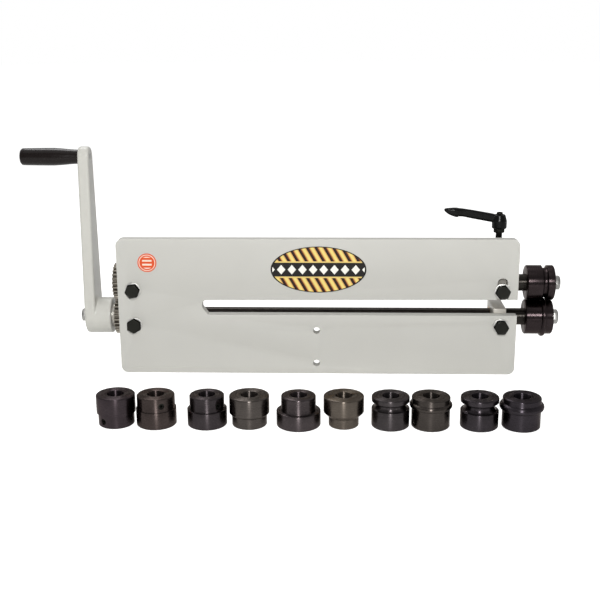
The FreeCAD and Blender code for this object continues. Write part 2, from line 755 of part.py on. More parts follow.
def spindle_parts(prefix, height, shaft_left, tail_bore, has_bead, gear_turn):
    """Everything that turns with one shaft and is alike on both."""
    shaft(f"{prefix}_shaft", height, shaft_left, tail_bore)
    gear(f"{prefix}_gear", height, gear_turn)
    gear_key(f"{prefix}_gear_key", height)
    ring(f"{prefix}_shaft_collar", "-rear_inside + slide_gap", "shaft_collar_length",
         "shaft_radius + running_gap", "gear_boss_diameter / 2", height)
    mounted_die(f"{prefix}_die", height, has_bead)
    die_screw(f"{prefix}_die_screw", height)
    end_fixing(prefix, height)


def crank_arm():
    """Tapered cast arm with rounded edges and a round hub towards the gears."""
    body = new_body("crank_arm", ("-arm_left", "shaft_offset", "lower_axis_height"))
    lean = (size_of("hub_radius") - size_of("tip_radius")) / size_of("crank_radius")
    level = math.sqrt(1 - lean * lean)
    low = (f"{level:.9f} * hub_radius", f"{lean:.9f} * hub_radius")
    high = (f"{level:.9f} * tip_radius", f"crank_radius + {lean:.9f} * tip_radius")
    sketch = new_sketch(body, "YZ_Plane")
    draw_loop(sketch, [
        high,
        (f"-{high[0]}", high[1], "0", "crank_radius", 1),
        (f"-{low[0]}", low[1]),
        (low[0], low[1], "0", "0", 1),
    ])
    pad(body, sketch, "arm_thickness")
    dress_edges(body, "Fillet", "Radius", "arm_round", lambda edge: edge.BoundBox.XLength < 0.01)
    end = "(arm_thickness + hub_length)"
    sketch = new_sketch(body, "XY_Plane")
    draw_loop(sketch, [
        ("arm_round", "0"),
        (end, "0"),
        (end, "hub_radius - 1.5"),
        (f"{end} - 1.5", "hub_radius"),
        ("arm_round", "hub_radius"),
    ])
    turn_about(body, sketch, "Revolution")
    sketch = new_sketch(body, "XY_Plane")
    draw_loop(sketch, [
        ("-1", "0"),
        (f"{end} + 1", "0"),
        (f"{end} + 1", "shaft_radius + running_gap"),
        ("shaft_recess - 0.5", "shaft_radius + running_gap"),
        ("shaft_recess - 0.5", "crank_bolt_diameter / 2 + bolt_hole_gap"),
        ("-1", "crank_bolt_diameter / 2 + bolt_hole_gap"),
    ])
    before = volume_of(body)
    turn_about(body, sketch, "Groove")
    if volume_of(body) > before - 1:
        raise RuntimeError("the bore of the crank cuts nothing")
    sketch = new_sketch(body, "YZ_Plane")
    draw_circle(sketch, "0", "crank_radius", "pin_diameter / 2 + running_gap")
    cut(body, sketch, "arm_thickness", backwards=True)
    return body


def crank_fixing():
    """Washer and bolt that hold the crank on the lower shaft."""
    ring("crank_washer", "-arm_left - washer_thickness", "washer_thickness",
         "crank_bolt_diameter / 2 + bolt_hole_gap", "crank_washer_diameter / 2", "lower_axis_height")
    place = ("-arm_left - washer_thickness", "shaft_offset", "lower_axis_height")
    body = new_body("crank_bolt", place)
    hex_bolt(body, "crank_bolt_diameter", "washer_thickness + shaft_recess + 22",
             "crank_bolt_flats", "crank_bolt_head")


def crank_grip():
    """Swelling grip, bored for its pin and recessed for the pin's head."""
    inside = "pin_diameter / 2 + 2 * running_gap"
    end = "(grip_length + grip_gap)"
    return turned("crank_grip", [
        ("grip_gap", inside),
        ("grip_gap", "grip_root_radius"),
        ("grip_gap + 0.43 * grip_length", "grip_swell_radius"),
        (f"{end} - 2", "grip_end_radius"),
        (end, "grip_end_radius - 2"),
        (end, "pin_head_diameter / 2 + 0.5"),
        (f"{end} - pin_recess", "pin_head_diameter / 2 + 0.5"),
        (f"{end} - pin_recess", inside),
    ], ("-arm_left", "shaft_offset", "crank_axis_height"), BACK_ALONG_X)


def grip_pin():
    """Headed pin through the grip and the arm."""
    seat = "(grip_length + 2 * grip_gap - pin_recess)"
    return turned("grip_pin", [
        ("-arm_thickness", "0"),
        (f"{seat} + pin_head", "0"),
        (f"{seat} + pin_head", "pin_head_diameter / 2"),
        (seat, "pin_head_diameter / 2"),
        (seat, "pin_diameter / 2"),
        ("-arm_thickness", "pin_diameter / 2"),
    ], ("-arm_left", "shaft_offset", "crank_axis_height"), BACK_ALONG_X)


def nut_block():
    """Threaded block welded behind the upper arm of the plate."""
    place = ("bolt_reach", "plate_back", "plate_height - nut_block_drop - nut_block_height")
    body = new_body("adjuster_nut_block", place)
    sketch = new_sketch(body, "XY_Plane")
    draw_loop(sketch, [
        ("-nut_block_length / 2", "0"),
        ("nut_block_length / 2", "0"),
        ("nut_block_length / 2", "nut_block_width"),
        ("-nut_block_length / 2", "nut_block_width"),
    ])
    draw_circle(sketch, "0", "shaft_offset - plate_back", "screw_diameter / 2 + 2 * running_gap")
    pad(body, sketch, "nut_block_height")
    beads = new_body("nut_block_welds", place)
    sketch = new_sketch(beads, "XY_Plane")
    for side in (1, -1):
        draw_loop(sketch, [
            (f"{side} * nut_block_length / 2", "0"),
            (f"{side} * (nut_block_length / 2 + weld_leg)", "0"),
            (f"{side} * nut_block_length / 2", "weld_leg"),
        ])
    pad(beads, sketch, "nut_block_height")


def adjuster_pieces():
    """Screw with its thrust foot, and the insert that the lever sits on."""
    place = ("bolt_reach", "shaft_offset", "0")
    tip_low = "foot_low + 1.2"
    shoulder = "foot_low + foot_height + slide_gap"
    turned("adjuster_screw", [
        (tip_low, "0"),
        ("screw_top", "0"),
        ("screw_top", "screw_diameter / 2"),
        (f"{shoulder} + 1", "screw_diameter / 2"),
        (shoulder, "screw_diameter / 2 - 1"),
        (shoulder, "screw_tip_diameter / 2"),
        (tip_low, "screw_tip_diameter / 2"),
    ], place, ALONG_Z)
    turned("thrust_foot", [
        ("foot_low", "0"),
        ("foot_low", "foot_diameter / 2 - 1"),
        ("foot_low + 1", "foot_diameter / 2"),
        ("foot_low + foot_height", "foot_diameter / 2"),
        ("foot_low + foot_height", "screw_tip_diameter / 2 + 2 * running_gap"),
        ("foot_low + 1", "screw_tip_diameter / 2 + 2 * running_gap"),
        ("foot_low + 1", "0"),
    ], place, ALONG_Z)
    turned("lever_insert", [
        ("collar_low", "screw_diameter / 2 + running_gap"),
        ("collar_low", "insert_diameter / 2 - 0.8"),
        ("collar_low + 0.8", "insert_diameter / 2"),
        ("collar_high", "insert_diameter / 2"),
        ("collar_high", "stem_diameter / 2"),
        ("stem_high", "stem_diameter / 2"),
        ("stem_high", "cap_screw_diameter / 2 + running_gap"),
        ("screw_top + 0.7", "cap_screw_diameter / 2 + running_gap"),
        ("screw_top + 0.7", "0"),
        ("screw_top", "0"),
        ("screw_top", "screw_diameter / 2 + running_gap"),
    ], place, ALONG_Z)
    turned("lever_cap_screw", [
        ("screw_top + 1", "0"),
        ("cap_high", "0"),
        ("cap_high", "cap_head_diameter / 2"),
        ("cap_high - cap_head", "cap_head_diameter / 2"),
        ("cap_high - cap_head", "cap_screw_diameter / 2"),
        ("screw_top + 1", "cap_screw_diameter / 2"),
    ], place, ALONG_Z)


def lever_section(body, station, middle, height, width):
    """Eight sided cross section of the lever. Its height and width are shares
    of the hub's radius."""
    sketch = new_sketch(body, "XY_Plane", station)
    corners = []
    for across, up in ((1, 0.5), (0.5, 1), (-0.5, 1), (-1, 0.5), (-1, -0.5), (-0.5, -1), (0.5, -1), (1, -0.5)):
        corners.append((
            f"{middle} + {across * height / 2:.4f} * lever_radius",
            f"{up * width / 2:.4f} * lever_radius",
        ))
    draw_loop(sketch, corners)
    return sketch


def clamping_lever():
    """Lever that lifts off its seat to be turned to another place."""
    body = new_body("clamping_lever", ("bolt_reach", "shaft_offset", "0"), ALONG_Z)
    seat = "(collar_high + slide_gap)"
    inside = "(stem_diameter / 2 + lever_gap)"
    ring_low = "(stem_high + lever_gap)"
    head_room = "(cap_head_diameter / 2 + 3 * lever_gap)"
    screw_room = "(cap_screw_diameter / 2 + lever_gap)"
    sketch = new_sketch(body, "XY_Plane")
    draw_loop(sketch, [
        (seat, inside),
        (seat, "0.89 * lever_radius"),
        (f"{seat} + 0.2 * lever_radius", "lever_radius"),
        (f"{seat} + lever_radius", "lever_radius"),
        ("lever_high - 0.6 * lever_radius", "0.93 * lever_radius"),
        ("lever_high - 0.15 * lever_radius", "0.78 * lever_radius"),
        ("lever_high", "0.63 * lever_radius"),
        ("lever_high", head_room),
        (f"{ring_low} + lever_ring", head_room),
        (f"{ring_low} + lever_ring", screw_room),
        (ring_low, screw_room),
        (ring_low, inside),
    ])
    turn_about(body, sketch, "Revolution")
    document.recompute()
    sections = [
        lever_section(body, "0.68 * lever_radius", "(lever_high - 0.76 * lever_radius)", 1.12, 0.93),
        lever_section(body, "0.15 * lever_reach", "(lever_high - 0.63 * lever_radius)", 1.12, 0.93),
        lever_section(body, "0.73 * lever_reach", "(lever_high + 0.21 * lever_radius)", 1.02, 0.83),
        lever_section(body, "0.79 * lever_reach", "(lever_high + 0.16 * lever_radius)", 1.24, 1.12),
        lever_section(body, "lever_reach", "(lever_high + 0.45 * lever_radius)", 0.63, 0.78),
    ]
    arm = body.newObject("PartDesign::AdditiveLoft", "clamping_lever_arm")
    arm.Profile = sections[0]
    arm.Sections = sections[1:]
    arm.Ruled = True
    return body


def lever_spring():
    """Spring between the lever's inner ring and the head of its screw."""
    ring_top = "(stem_high + lever_gap + lever_ring + running_gap * 2)"
    body = new_body("lever_spring", ("bolt_reach", "shaft_offset", f"{ring_top} + spring_wire / 2"))
    sketch = new_sketch(body, "XZ_Plane")
    draw_circle(sketch, "cap_screw_diameter / 2 + 1.5 * spring_wire", "0", "spring_wire / 2")
    coil = body.newObject("PartDesign::AdditiveHelix", "lever_spring_coil")
    coil.Profile = sketch
    coil.ReferenceAxis = (sketch, ["V_Axis"])
    coil.Mode = 0
    height = f"(cap_high - cap_head - {ring_top} - spring_wire - running_gap * 2)"
    bind(coil, "Height", height)
    bind(coil, "Pitch", f"{height} / 3.5")
    return body


def loose_die(label, share, screw, steps, half_round):
    """Die standing on its end in front of the machine."""
    turn = ALONG_Z
    if screw is not None:
        turn = FreeCAD.Rotation(FreeCAD.Vector(0, 0, 1), screw[0] - 90).multiply(ALONG_Z)
    station = f"{share} * plate_length"
    top_radius = f"({steps[-1][1]} * die_radius)"
    corners = [
        ("0", "bore_radius"),
        ("die_length", "bore_radius"),
        ("die_length", f"{top_radius} - die_bevel"),
        ("die_length - die_bevel", top_radius),
    ]
    if half_round is not None:
        middle, own_radius, centre, kind = half_round
        half = f"(sqrt({own_radius} ^ 2 - ({steps[-1][1]} - {centre}) ^ 2) * die_radius)"
        direction = 1 if kind == "bead" else -1
        corners = die_outline(
            corners, half, f"{centre} * die_radius", f"({middle} * die_length)", top_radius, direction
        )
    for level, radius in reversed(steps[1:]):
        corners.append((f"{level} * die_length", f"{radius} * die_radius"))
    corners += [
        ("die_bevel", f"{steps[0][1]} * die_radius"),
        ("0", f"{steps[0][1]} * die_radius - die_bevel"),
    ]
    body = turned(label, corners, (station, "-rack_row", "0"), turn)
    if screw is None:
        return None
    screw_height = f"({screw[1]} * die_length)"
    sketch = new_sketch(body, "XZ_Plane")
    draw_circle(sketch, screw_height, "0", "die_screw_diameter / 2")
    cut(body, sketch, "die_radius * 1.2")
    across = FreeCAD.Rotation(FreeCAD.Vector(0, 0, 1), screw[0])
    wall_radius = [radius for level, radius in steps if level <= screw[1]][-1]
    set_screw = turned(f"{label}_screw", screw_outline(f"{wall_radius} * die_radius - die_screw_recess"),
                       (station, "-rack_row", screw_height), across)
    exported.remove(set_screw)
    return set_screw


def loose_dies():
    """The ten loose dies, and one sub-part that holds their set screws."""
    screws = [loose_die(*row) for row in LOOSE_DIES]
    together = document.addObject("Part::Compound", "loose_die_screws")
    together.Label = "loose_die_screws"
    together.Links = [screw for screw in screws if screw is not None]
    exported.append(together)


def badges():
    """Thin oval badge in the middle of the plate and a round one at its end."""
    ellipse = document.addObject("Part::Ellipse", "oval_outline")
    bind(ellipse, "MajorRadius", "oval_length / 2")
    bind(ellipse, "MinorRadius", "oval_height / 2")
    oval = document.addObject("Part::Extrusion", "oval_badge")
    oval.Label = "oval_badge"
    oval.Base = ellipse
    oval.DirMode = "Custom"
    oval.Dir = FreeCAD.Vector(0, 0, 1)
    oval.Solid = True
    disc = document.addObject("Part::Cylinder", "round_badge")
    disc.Label = "round_badge"
    bind(disc, "Radius", "round_diameter / 2")
    facing_front = FreeCAD.Rotation(FreeCAD.Vector(1, 0, 0), 90)
    places = {
        oval: ("oval_offset", "plate_height - oval_drop"),
        disc: ("round_inset - plate_length / 2", "plate_height - round_drop"),
    }
    for badge, (across, level) in places.items():
        badge.Placement = FreeCAD.Placement(FreeCAD.Vector(), facing_front)
        bind(badge, "LengthFwd" if badge is oval else "Height", "badge_thickness")
        bind(badge, "Placement.Base.x", across)
        bind(badge, "Placement.Base.y", "plate_front")
        bind(badge, "Placement.Base.z", level)
        exported.append(badge)


def bearings(prefix, height, gap):
    """Two blocks with their bushes, bolts and washers on one shaft's level."""
    for place, side in (("front", 1), ("rear", -1)):
        bearing_block(f"{prefix}_{place}_block", side, height, gap)
        bearing_bush(f"{prefix}_{place}_bush", side, height)
    block_bolts(f"{prefix}_bolts", height, gap)
    block_washers(f"{prefix}_washers", height, gap)


def write_parts():
    """Check every object of the document, then write each sub-part."""
    document.recompute()
    for item in document.Objects:
        if "Invalid" in item.State or "Error" in item.State:
            raise RuntimeError(f"{item.Label} did not build: {item.State}")
    for item in exported:
        if item.Shape.isNull() or not item.Shape.isValid():
            raise RuntimeError(f"{item.Label} has no valid shape")
    os.makedirs("parts", exist_ok=True)
    for item in exported:
        item.Shape.exportStep(f"parts/{item.Label}.step")
        box = item.Shape.BoundBox
        print(
            f"{item.Label}: {len(item.Shape.Solids)} solid, {item.Shape.Volume:.0f} mm3, "
            f"x {box.XMin:.2f} {box.XMax:.2f}, y {box.YMin:.2f} {box.YMax:.2f}, z {box.ZMin:.2f} {box.ZMax:.2f}"
        )
    print(len(exported), "sub-parts")


frame_plate()
bearings("lower", "lower_axis_height", "0")
bearings("upper", "upper_axis_height", "slide_gap")
spindle_parts("lower", "lower_axis_height", "(shaft_recess - arm_left)", True, True, 90)
spindle_parts("upper", "upper_axis_height", "(-gear_start)", False, False, -90 + 180 / size_of("gear_teeth"))
ring("gear_spacer", "-hub_outer", "spacer_length", "shaft_radius + running_gap",
     "spacer_diameter / 2", "lower_axis_height")
crank_arm()
crank_fixing()
crank_grip()
grip_pin()
nut_block()
adjuster_pieces()
clamping_lever()
lever_spring()
loose_dies()
badges()
write_parts()
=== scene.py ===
import json
import math

import bpy
from mathutils import Euler, Matrix, Vector

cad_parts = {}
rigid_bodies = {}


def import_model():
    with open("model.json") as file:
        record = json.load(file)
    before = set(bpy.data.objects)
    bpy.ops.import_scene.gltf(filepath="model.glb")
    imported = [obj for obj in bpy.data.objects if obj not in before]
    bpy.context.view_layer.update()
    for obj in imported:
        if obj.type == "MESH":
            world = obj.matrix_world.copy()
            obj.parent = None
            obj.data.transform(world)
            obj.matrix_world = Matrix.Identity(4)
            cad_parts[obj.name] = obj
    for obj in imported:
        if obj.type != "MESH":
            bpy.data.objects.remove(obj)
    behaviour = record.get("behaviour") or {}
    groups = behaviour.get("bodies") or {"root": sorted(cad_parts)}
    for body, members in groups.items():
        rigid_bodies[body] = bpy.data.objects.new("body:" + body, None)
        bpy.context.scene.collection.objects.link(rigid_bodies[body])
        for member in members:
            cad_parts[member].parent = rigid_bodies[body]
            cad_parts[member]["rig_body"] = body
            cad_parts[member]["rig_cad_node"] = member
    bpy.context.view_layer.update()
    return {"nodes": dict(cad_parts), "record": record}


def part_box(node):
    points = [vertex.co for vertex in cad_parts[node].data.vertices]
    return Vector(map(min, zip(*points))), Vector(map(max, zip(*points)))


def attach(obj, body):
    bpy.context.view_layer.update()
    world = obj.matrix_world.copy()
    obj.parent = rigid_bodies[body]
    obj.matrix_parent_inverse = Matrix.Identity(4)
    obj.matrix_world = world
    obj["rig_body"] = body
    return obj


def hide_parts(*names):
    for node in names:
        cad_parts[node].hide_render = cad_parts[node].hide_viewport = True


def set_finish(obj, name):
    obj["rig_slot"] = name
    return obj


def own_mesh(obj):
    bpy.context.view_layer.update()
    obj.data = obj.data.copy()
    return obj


# Looks of a hand cranked bead roller: a painted plate with a long throat, two
# black shafts behind it, turned black dies, a cast crank and a black lever.
# Lengths are written in millimetres and turned to metres by MM.

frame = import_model()

MM = 0.001


def place_of(node):
    """Lowest corner, highest corner and middle of a CAD node in millimetres."""
    low, high = (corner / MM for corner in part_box(node))
    return low, high, (low + high) / 2


# Places that the CAD solids give
SHAFT_Y = place_of("lower_shaft")[2].y
LOWER_AXIS_Z = place_of("lower_shaft")[2].z
UPPER_AXIS_Z = place_of("upper_shaft")[2].z
SHAFT_RADIUS = place_of("upper_shaft")[1].z - UPPER_AXIS_Z
BOLT_X = place_of("lower_front_block")[2].x
CRANK_OUTER_X = place_of("crank_arm")[0].x
GRIP_Z = place_of("crank_grip")[2].z
SHAFT_LEVELS = (("lower", LOWER_AXIS_Z), ("upper", UPPER_AXIS_Z))

# Sizes of the standard parts
BLOCK_BOLT = {"diameter": 12, "flats": 19, "head": 7.5}
CRANK_BOLT = {"diameter": 10, "flats": 17, "head": 6.5}
SOCKET_FLATS = 4
SCREW_RADIUS = 5
SCREW_PITCH = 1.5
PIN_RADIUS = 5

# Room between pieces that fit together
FIT = 0.05


# Making pieces

def deselect():
    if bpy.context.mode != "OBJECT":
        bpy.ops.object.mode_set(mode="OBJECT")
    bpy.ops.object.select_all(action="DESELECT")


def select_only(piece):
    deselect()
    piece.select_set(True)
    bpy.context.view_layer.objects.active = piece


def apply_modifier(piece, kind, **settings):
    """Add a modifier with its settings and apply it."""
    select_only(piece)
    modifier = piece.modifiers.new(kind.lower(), kind)
    for name, value in settings.items():
        setattr(modifier, name, value)
    bpy.ops.object.modifier_apply(modifier=modifier.name)


def round_edges(piece, width, segments=2, angle=30):
    """Soften every edge sharper than an angle."""
    apply_modifier(
        piece, "BEVEL", width=width * MM, segments=segments, limit_method="ANGLE",
        angle_limit=math.radians(angle), use_clamp_overlap=True, harden_normals=False,
    )


def smooth(piece, angle=35):
    select_only(piece)
    bpy.ops.object.shade_smooth_by_angle(angle=math.radians(angle))


def cast_over(piece, grain, passes):
    """Melt joined solids into one skin with the soft corners of a casting."""
    apply_modifier(piece, "REMESH", mode="VOXEL", voxel_size=grain * MM)
    apply_modifier(piece, "SMOOTH", iterations=passes, factor=0.5)


def pick_faces(piece, wanted):
    """In edit mode, select the faces whose middle and normal pass a test."""
    bpy.ops.object.mode_set(mode="EDIT")
    bpy.ops.mesh.select_mode(type="FACE")
    bpy.ops.mesh.select_all(action="DESELECT")
    bpy.ops.object.mode_set(mode="OBJECT")
    for face in piece.data.polygons:
        face.select = wanted(face.center / MM, face.normal)
    bpy.ops.object.mode_set(mode="EDIT")


def outward(piece):
    """Merge doubled points and turn every face outwards."""
    select_only(piece)
    bpy.ops.object.mode_set(mode="EDIT")
    bpy.ops.mesh.select_all(action="SELECT")
    bpy.ops.mesh.remove_doubles(threshold=1e-6)
    bpy.ops.mesh.normals_make_consistent(inside=False)
    bpy.ops.object.mode_set(mode="OBJECT")


def turned(outline, sides=64, closed=False):
    """Turned piece on the Z axis. Its outline is pairs of height and radius,
    and a radius of 0 closes an end."""
    deselect()
    outline = [(height * MM, radius * MM) for height, radius in outline]
    first = next(number for number, pair in enumerate(outline) if pair[1] > 0)
    height, radius = outline[first]
    bpy.ops.mesh.primitive_circle_add(vertices=sides, radius=radius, location=(0, 0, height))
    piece = bpy.context.object
    bpy.ops.object.transform_apply(location=True)
    bpy.ops.object.mode_set(mode="EDIT")
    if first > 0:
        bpy.ops.mesh.extrude_region_move(TRANSFORM_OT_translate={"value": (0, 0, outline[0][0] - height)})
        bpy.ops.mesh.merge(type="COLLAPSE")
        bpy.ops.mesh.select_all(action="DESELECT")
        bpy.ops.object.mode_set(mode="OBJECT")
        for point in piece.data.vertices:
            point.select = math.hypot(point.co.x, point.co.y) > radius / 2
        bpy.ops.object.mode_set(mode="EDIT")
        bpy.ops.mesh.select_mode(type="VERT")
    steps = outline[first + 1:] + ([outline[first]] if closed else [])
    for next_height, next_radius in steps:
        bpy.ops.mesh.extrude_region_move(TRANSFORM_OT_translate={"value": (0, 0, next_height - height)})
        if next_radius == 0:
            bpy.ops.mesh.merge(type="COLLAPSE")
            break
        scale = next_radius / radius
        bpy.ops.transform.resize(value=(scale, scale, 1), center_override=(0, 0, next_height))
        height, radius = next_height, next_radius
    bpy.ops.object.mode_set(mode="OBJECT")
    outward(piece)
    return piece


def rod(radius, low, high, sides=96):
    """Plain round bar on the Z axis."""
    return turned([(low, 0), (low, radius), (high, radius), (high, 0)], sides)


def drawn_out(sections):
    """Bar with rounded square sections along the Z axis. Each section is its
    height, its shift along X, its half size along X and its half size along Y."""
    deselect()
    height, shift, half_x, half_y = (value * MM for value in sections[0])
    bpy.ops.mesh.primitive_plane_add(size=2, location=(0, 0, 0))
    piece = bpy.context.object
    bpy.ops.object.mode_set(mode="EDIT")
    bpy.ops.mesh.select_all(action="SELECT")
    bpy.ops.mesh.bevel(offset=0.62, segments=7, affect="VERTICES")
    bpy.ops.mesh.select_all(action="SELECT")
    bpy.ops.transform.resize(value=(half_x, half_y, 1), center_override=(0, 0, 0))
    bpy.ops.transform.translate(value=(shift, 0, height))
    for section in sections[1:]:
        next_height, next_shift, next_x, next_y = (value * MM for value in section)
        bpy.ops.mesh.extrude_region_move(
            TRANSFORM_OT_translate={"value": (next_shift - shift, 0, next_height - height)}
        )
        bpy.ops.transform.resize(
            value=(next_x / half_x, next_y / half_y, 1), center_override=(next_shift, 0, next_height)
        )
        height, shift, half_x, half_y = next_height, next_shift, next_x, next_y
    bpy.ops.object.mode_set(mode="OBJECT")
    outward(piece)
    return piece


def helical_ridge(radius, depth, pitch, low, high):
    """Thread ridge on the Z axis, whose crest runs at a radius."""
    deselect()
    bpy.ops.mesh.primitive_circle_add(
        vertices=4, radius=1, location=((radius - depth) * MM, 0, low * MM), rotation=(math.pi / 2, 0, 0)
    )
    ridge = bpy.context.object
    ridge.scale = (depth * MM, pitch * 0.48 * MM, 1)
    bpy.ops.object.transform_apply(location=True, rotation=True, scale=True)
    turns = int((high - low) / pitch)
    steps_a_turn = 32
    apply_modifier(
        ridge, "SCREW", axis="Z", screw_offset=pitch * MM, iterations=turns, steps=steps_a_turn,
        render_steps=steps_a_turn, use_merge_vertices=False, use_smooth_shade=False,
    )
    bpy.ops.object.mode_set(mode="EDIT")
    bpy.ops.mesh.select_all(action="SELECT")
    bpy.ops.mesh.fill_holes(sides=4)
    bpy.ops.object.mode_set(mode="OBJECT")
    outward(ridge)
    return ridge


def cut_with(piece, tool, operation="DIFFERENCE"):
    apply_modifier(piece, "BOOLEAN", object=tool, operation=operation, solver="EXACT")
    bpy.data.objects.remove(tool)


def joined(pieces):
    """Several pieces as one object."""
    deselect()
    for piece in pieces:
        piece.select_set(True)
    bpy.context.view_layer.objects.active = pieces[0]
    bpy.ops.object.join()
    return pieces[0]


def moved(piece, place, turn=(0, 0, 0)):
    """Put a piece at a place, turned by angles in degrees, and keep its mesh there."""
    select_only(piece)
    piece.rotation_euler = Euler([math.radians(angle) for angle in turn])
    piece.location = Vector(place) * MM
    bpy.ops.object.transform_apply(location=True, rotation=True, scale=True)
    return piece


def fit_piece(piece, name, material, slot, node):
    """Name a finished piece, give it its finish and let it ride in place of its node."""
    piece.name = name
    piece.data.name = name
    piece.data.materials.clear()
    piece.data.materials.append(material)
    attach(piece, frame["nodes"][node]["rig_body"])
    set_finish(piece, slot)
    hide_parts(node)


def copy_of(node):
    """Merged copy of a CAD node, free to be reworked."""
    select_only(frame["nodes"][node])
    bpy.ops.object.duplicate()
    piece = bpy.context.object
    bpy.ops.object.parent_clear(type="CLEAR_KEEP_TRANSFORM")
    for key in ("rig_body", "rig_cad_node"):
        del piece[key]
    bpy.ops.object.mode_set(mode="EDIT")
    bpy.ops.mesh.select_all(action="SELECT")
    bpy.ops.mesh.remove_doubles(threshold=1e-6)
    bpy.ops.mesh.dissolve_limited(angle_limit=math.radians(0.5))
    bpy.ops.object.mode_set(mode="OBJECT")
    return piece


def softened(node, width, segments=2, angle=30):
    """Copy of a CAD node with rounded edges."""
    piece = copy_of(node)
    round_edges(piece, width, segments, angle)
    smooth(piece)
    return piece


# Finishes

def linear(code, share=1.0):
    """Linear colour of an sRGB hex code, or a share of its light."""
    channels = [int(code[place:place + 2], 16) / 255 for place in (1, 3, 5)]
    channels = [c / 12.92 if c <= 0.04045 else ((c + 0.055) / 1.055) ** 2.4 for c in channels]
    return [channel * share for channel in channels] + [1.0]


def size(millimetres):
    """Texture scale whose features are that many millimetres across."""
    return 1 / (millimetres * MM)


def add(material, kind, inputs=None, **settings):
    """Add a node. Its inputs are values or sockets to link, by name or number."""
    node = material.node_tree.nodes.new(f"ShaderNode{kind}")
    for name, value in settings.items():
        setattr(node, name, value)
    for name, value in (inputs or {}).items():
        if isinstance(value, bpy.types.NodeSocket):
            material.node_tree.links.new(value, node.inputs[name])
        else:
            node.inputs[name].default_value = value
    return node


def new_finish(name):
    material = bpy.data.materials.new(name)
    material.use_nodes = True
    material.node_tree.nodes.clear()
    return material


def close_finish(material, inputs):
    shader = add(material, "BsdfPrincipled", inputs)
    add(material, "OutputMaterial", {"Surface": shader.outputs["BSDF"]})
    return material


def powder_coat():
    """Satin powder coat on plate. The eye sees an even warm grey with a very
    fine orange peel that only shows where a highlight falls."""
    finish = new_finish("powder_coat")
    place = add(finish, "TexCoord").outputs["Object"]
    cloud = add(finish, "TexNoise", {"Vector": place, "Scale": size(90), "Detail": 2})
    colour = add(finish, "ValToRGB", {"Fac": cloud.outputs["Fac"]})
    colour.color_ramp.elements[0].color = linear("#C3C2BC")
    colour.color_ramp.elements[1].color = linear("#C8C7C1")
    peel = add(finish, "TexNoise", {"Vector": place, "Scale": size(1.6), "Detail": 3})
    bump = add(finish, "Bump", {"Height": peel.outputs["Fac"], "Strength": 0.12, "Distance": 0.1 * MM})
    return close_finish(finish, {
        "Base Color": colour.outputs["Color"],
        "Roughness": 0.55,
        "IOR": 1.5,
        "Normal": bump.outputs["Normal"],
    })


def enamel_on_casting():
    """Thick light grey enamel brushed over a sand casting. The casting's dips
    show through as a slow wave, and the gloss breaks up over it."""
    finish = new_finish("enamel_on_casting")
    place = add(finish, "TexCoord").outputs["Object"]
    wave = add(finish, "TexNoise", {"Vector": place, "Scale": size(14), "Detail": 3})
    grain = add(finish, "TexNoise", {"Vector": place, "Scale": size(1.4), "Detail": 2})
    colour = add(finish, "ValToRGB", {"Fac": wave.outputs["Fac"]})
    colour.color_ramp.elements[0].color = linear("#C6C5BE")
    colour.color_ramp.elements[1].color = linear("#D0CFC8")
    dips = add(finish, "Bump", {"Height": wave.outputs["Fac"], "Strength": 0.35, "Distance": 0.8 * MM})
    skin = add(finish, "Bump", {
        "Height": grain.outputs["Fac"],
        "Strength": 0.15,
        "Distance": 0.12 * MM,
        "Normal": dips.outputs["Normal"],
    })
    return close_finish(finish, {
        "Base Color": colour.outputs["Color"],
        "Roughness": 0.3,
        "IOR": 1.5,
        "Specular IOR Level": 0.3,
        "Normal": skin.outputs["Normal"],
    })


def ground_steel():
    """Bare mild steel from the surface grinder, with fine straight scratches.
    Its matt skin of scratches scatters light as a pale grey does, so it is
    only partly metallic."""
    finish = new_finish("ground_steel")
    place = add(finish, "TexCoord").outputs["Object"]
    drawn = add(finish, "Mapping", {"Vector": place, "Scale": (1, 0.05, 1)})
    lines = add(finish, "TexNoise", {"Vector": drawn.outputs["Vector"], "Scale": size(0.7), "Detail": 3})
    rough = add(finish, "MapRange", {
        "Value": lines.outputs["Fac"], "From Min": 0.3, "From Max": 0.7, "To Min": 0.28, "To Max": 0.45,
    })
    bump = add(finish, "Bump", {"Height": lines.outputs["Fac"], "Strength": 0.25, "Distance": 0.05 * MM})
    return close_finish(finish, {
        "Base Color": linear("#BDB9B1"),
        "Metallic": 0.5,
        "Roughness": rough.outputs["Result"],
        "Normal": bump.outputs["Normal"],
    })


def from_axis(finish, place, centre, along):
    """Distance from a turned piece's axis, and distance along it."""
    centred = add(finish, "VectorMath", {0: place, 1: Vector(centre) * MM}, operation="SUBTRACT")
    split = add(finish, "SeparateXYZ", {"Vector": centred.outputs["Vector"]})
    squares = [
        add(finish, "Math", {0: split.outputs[axis], 1: split.outputs[axis]}, operation="MULTIPLY")
        for axis in "XYZ" if axis != along
    ]
    total = add(finish, "Math", {0: squares[0].outputs[0], 1: squares[1].outputs[0]}, operation="ADD")
    radius = add(finish, "Math", {0: total.outputs[0]}, operation="SQRT")
    return radius.outputs[0], split.outputs[along]


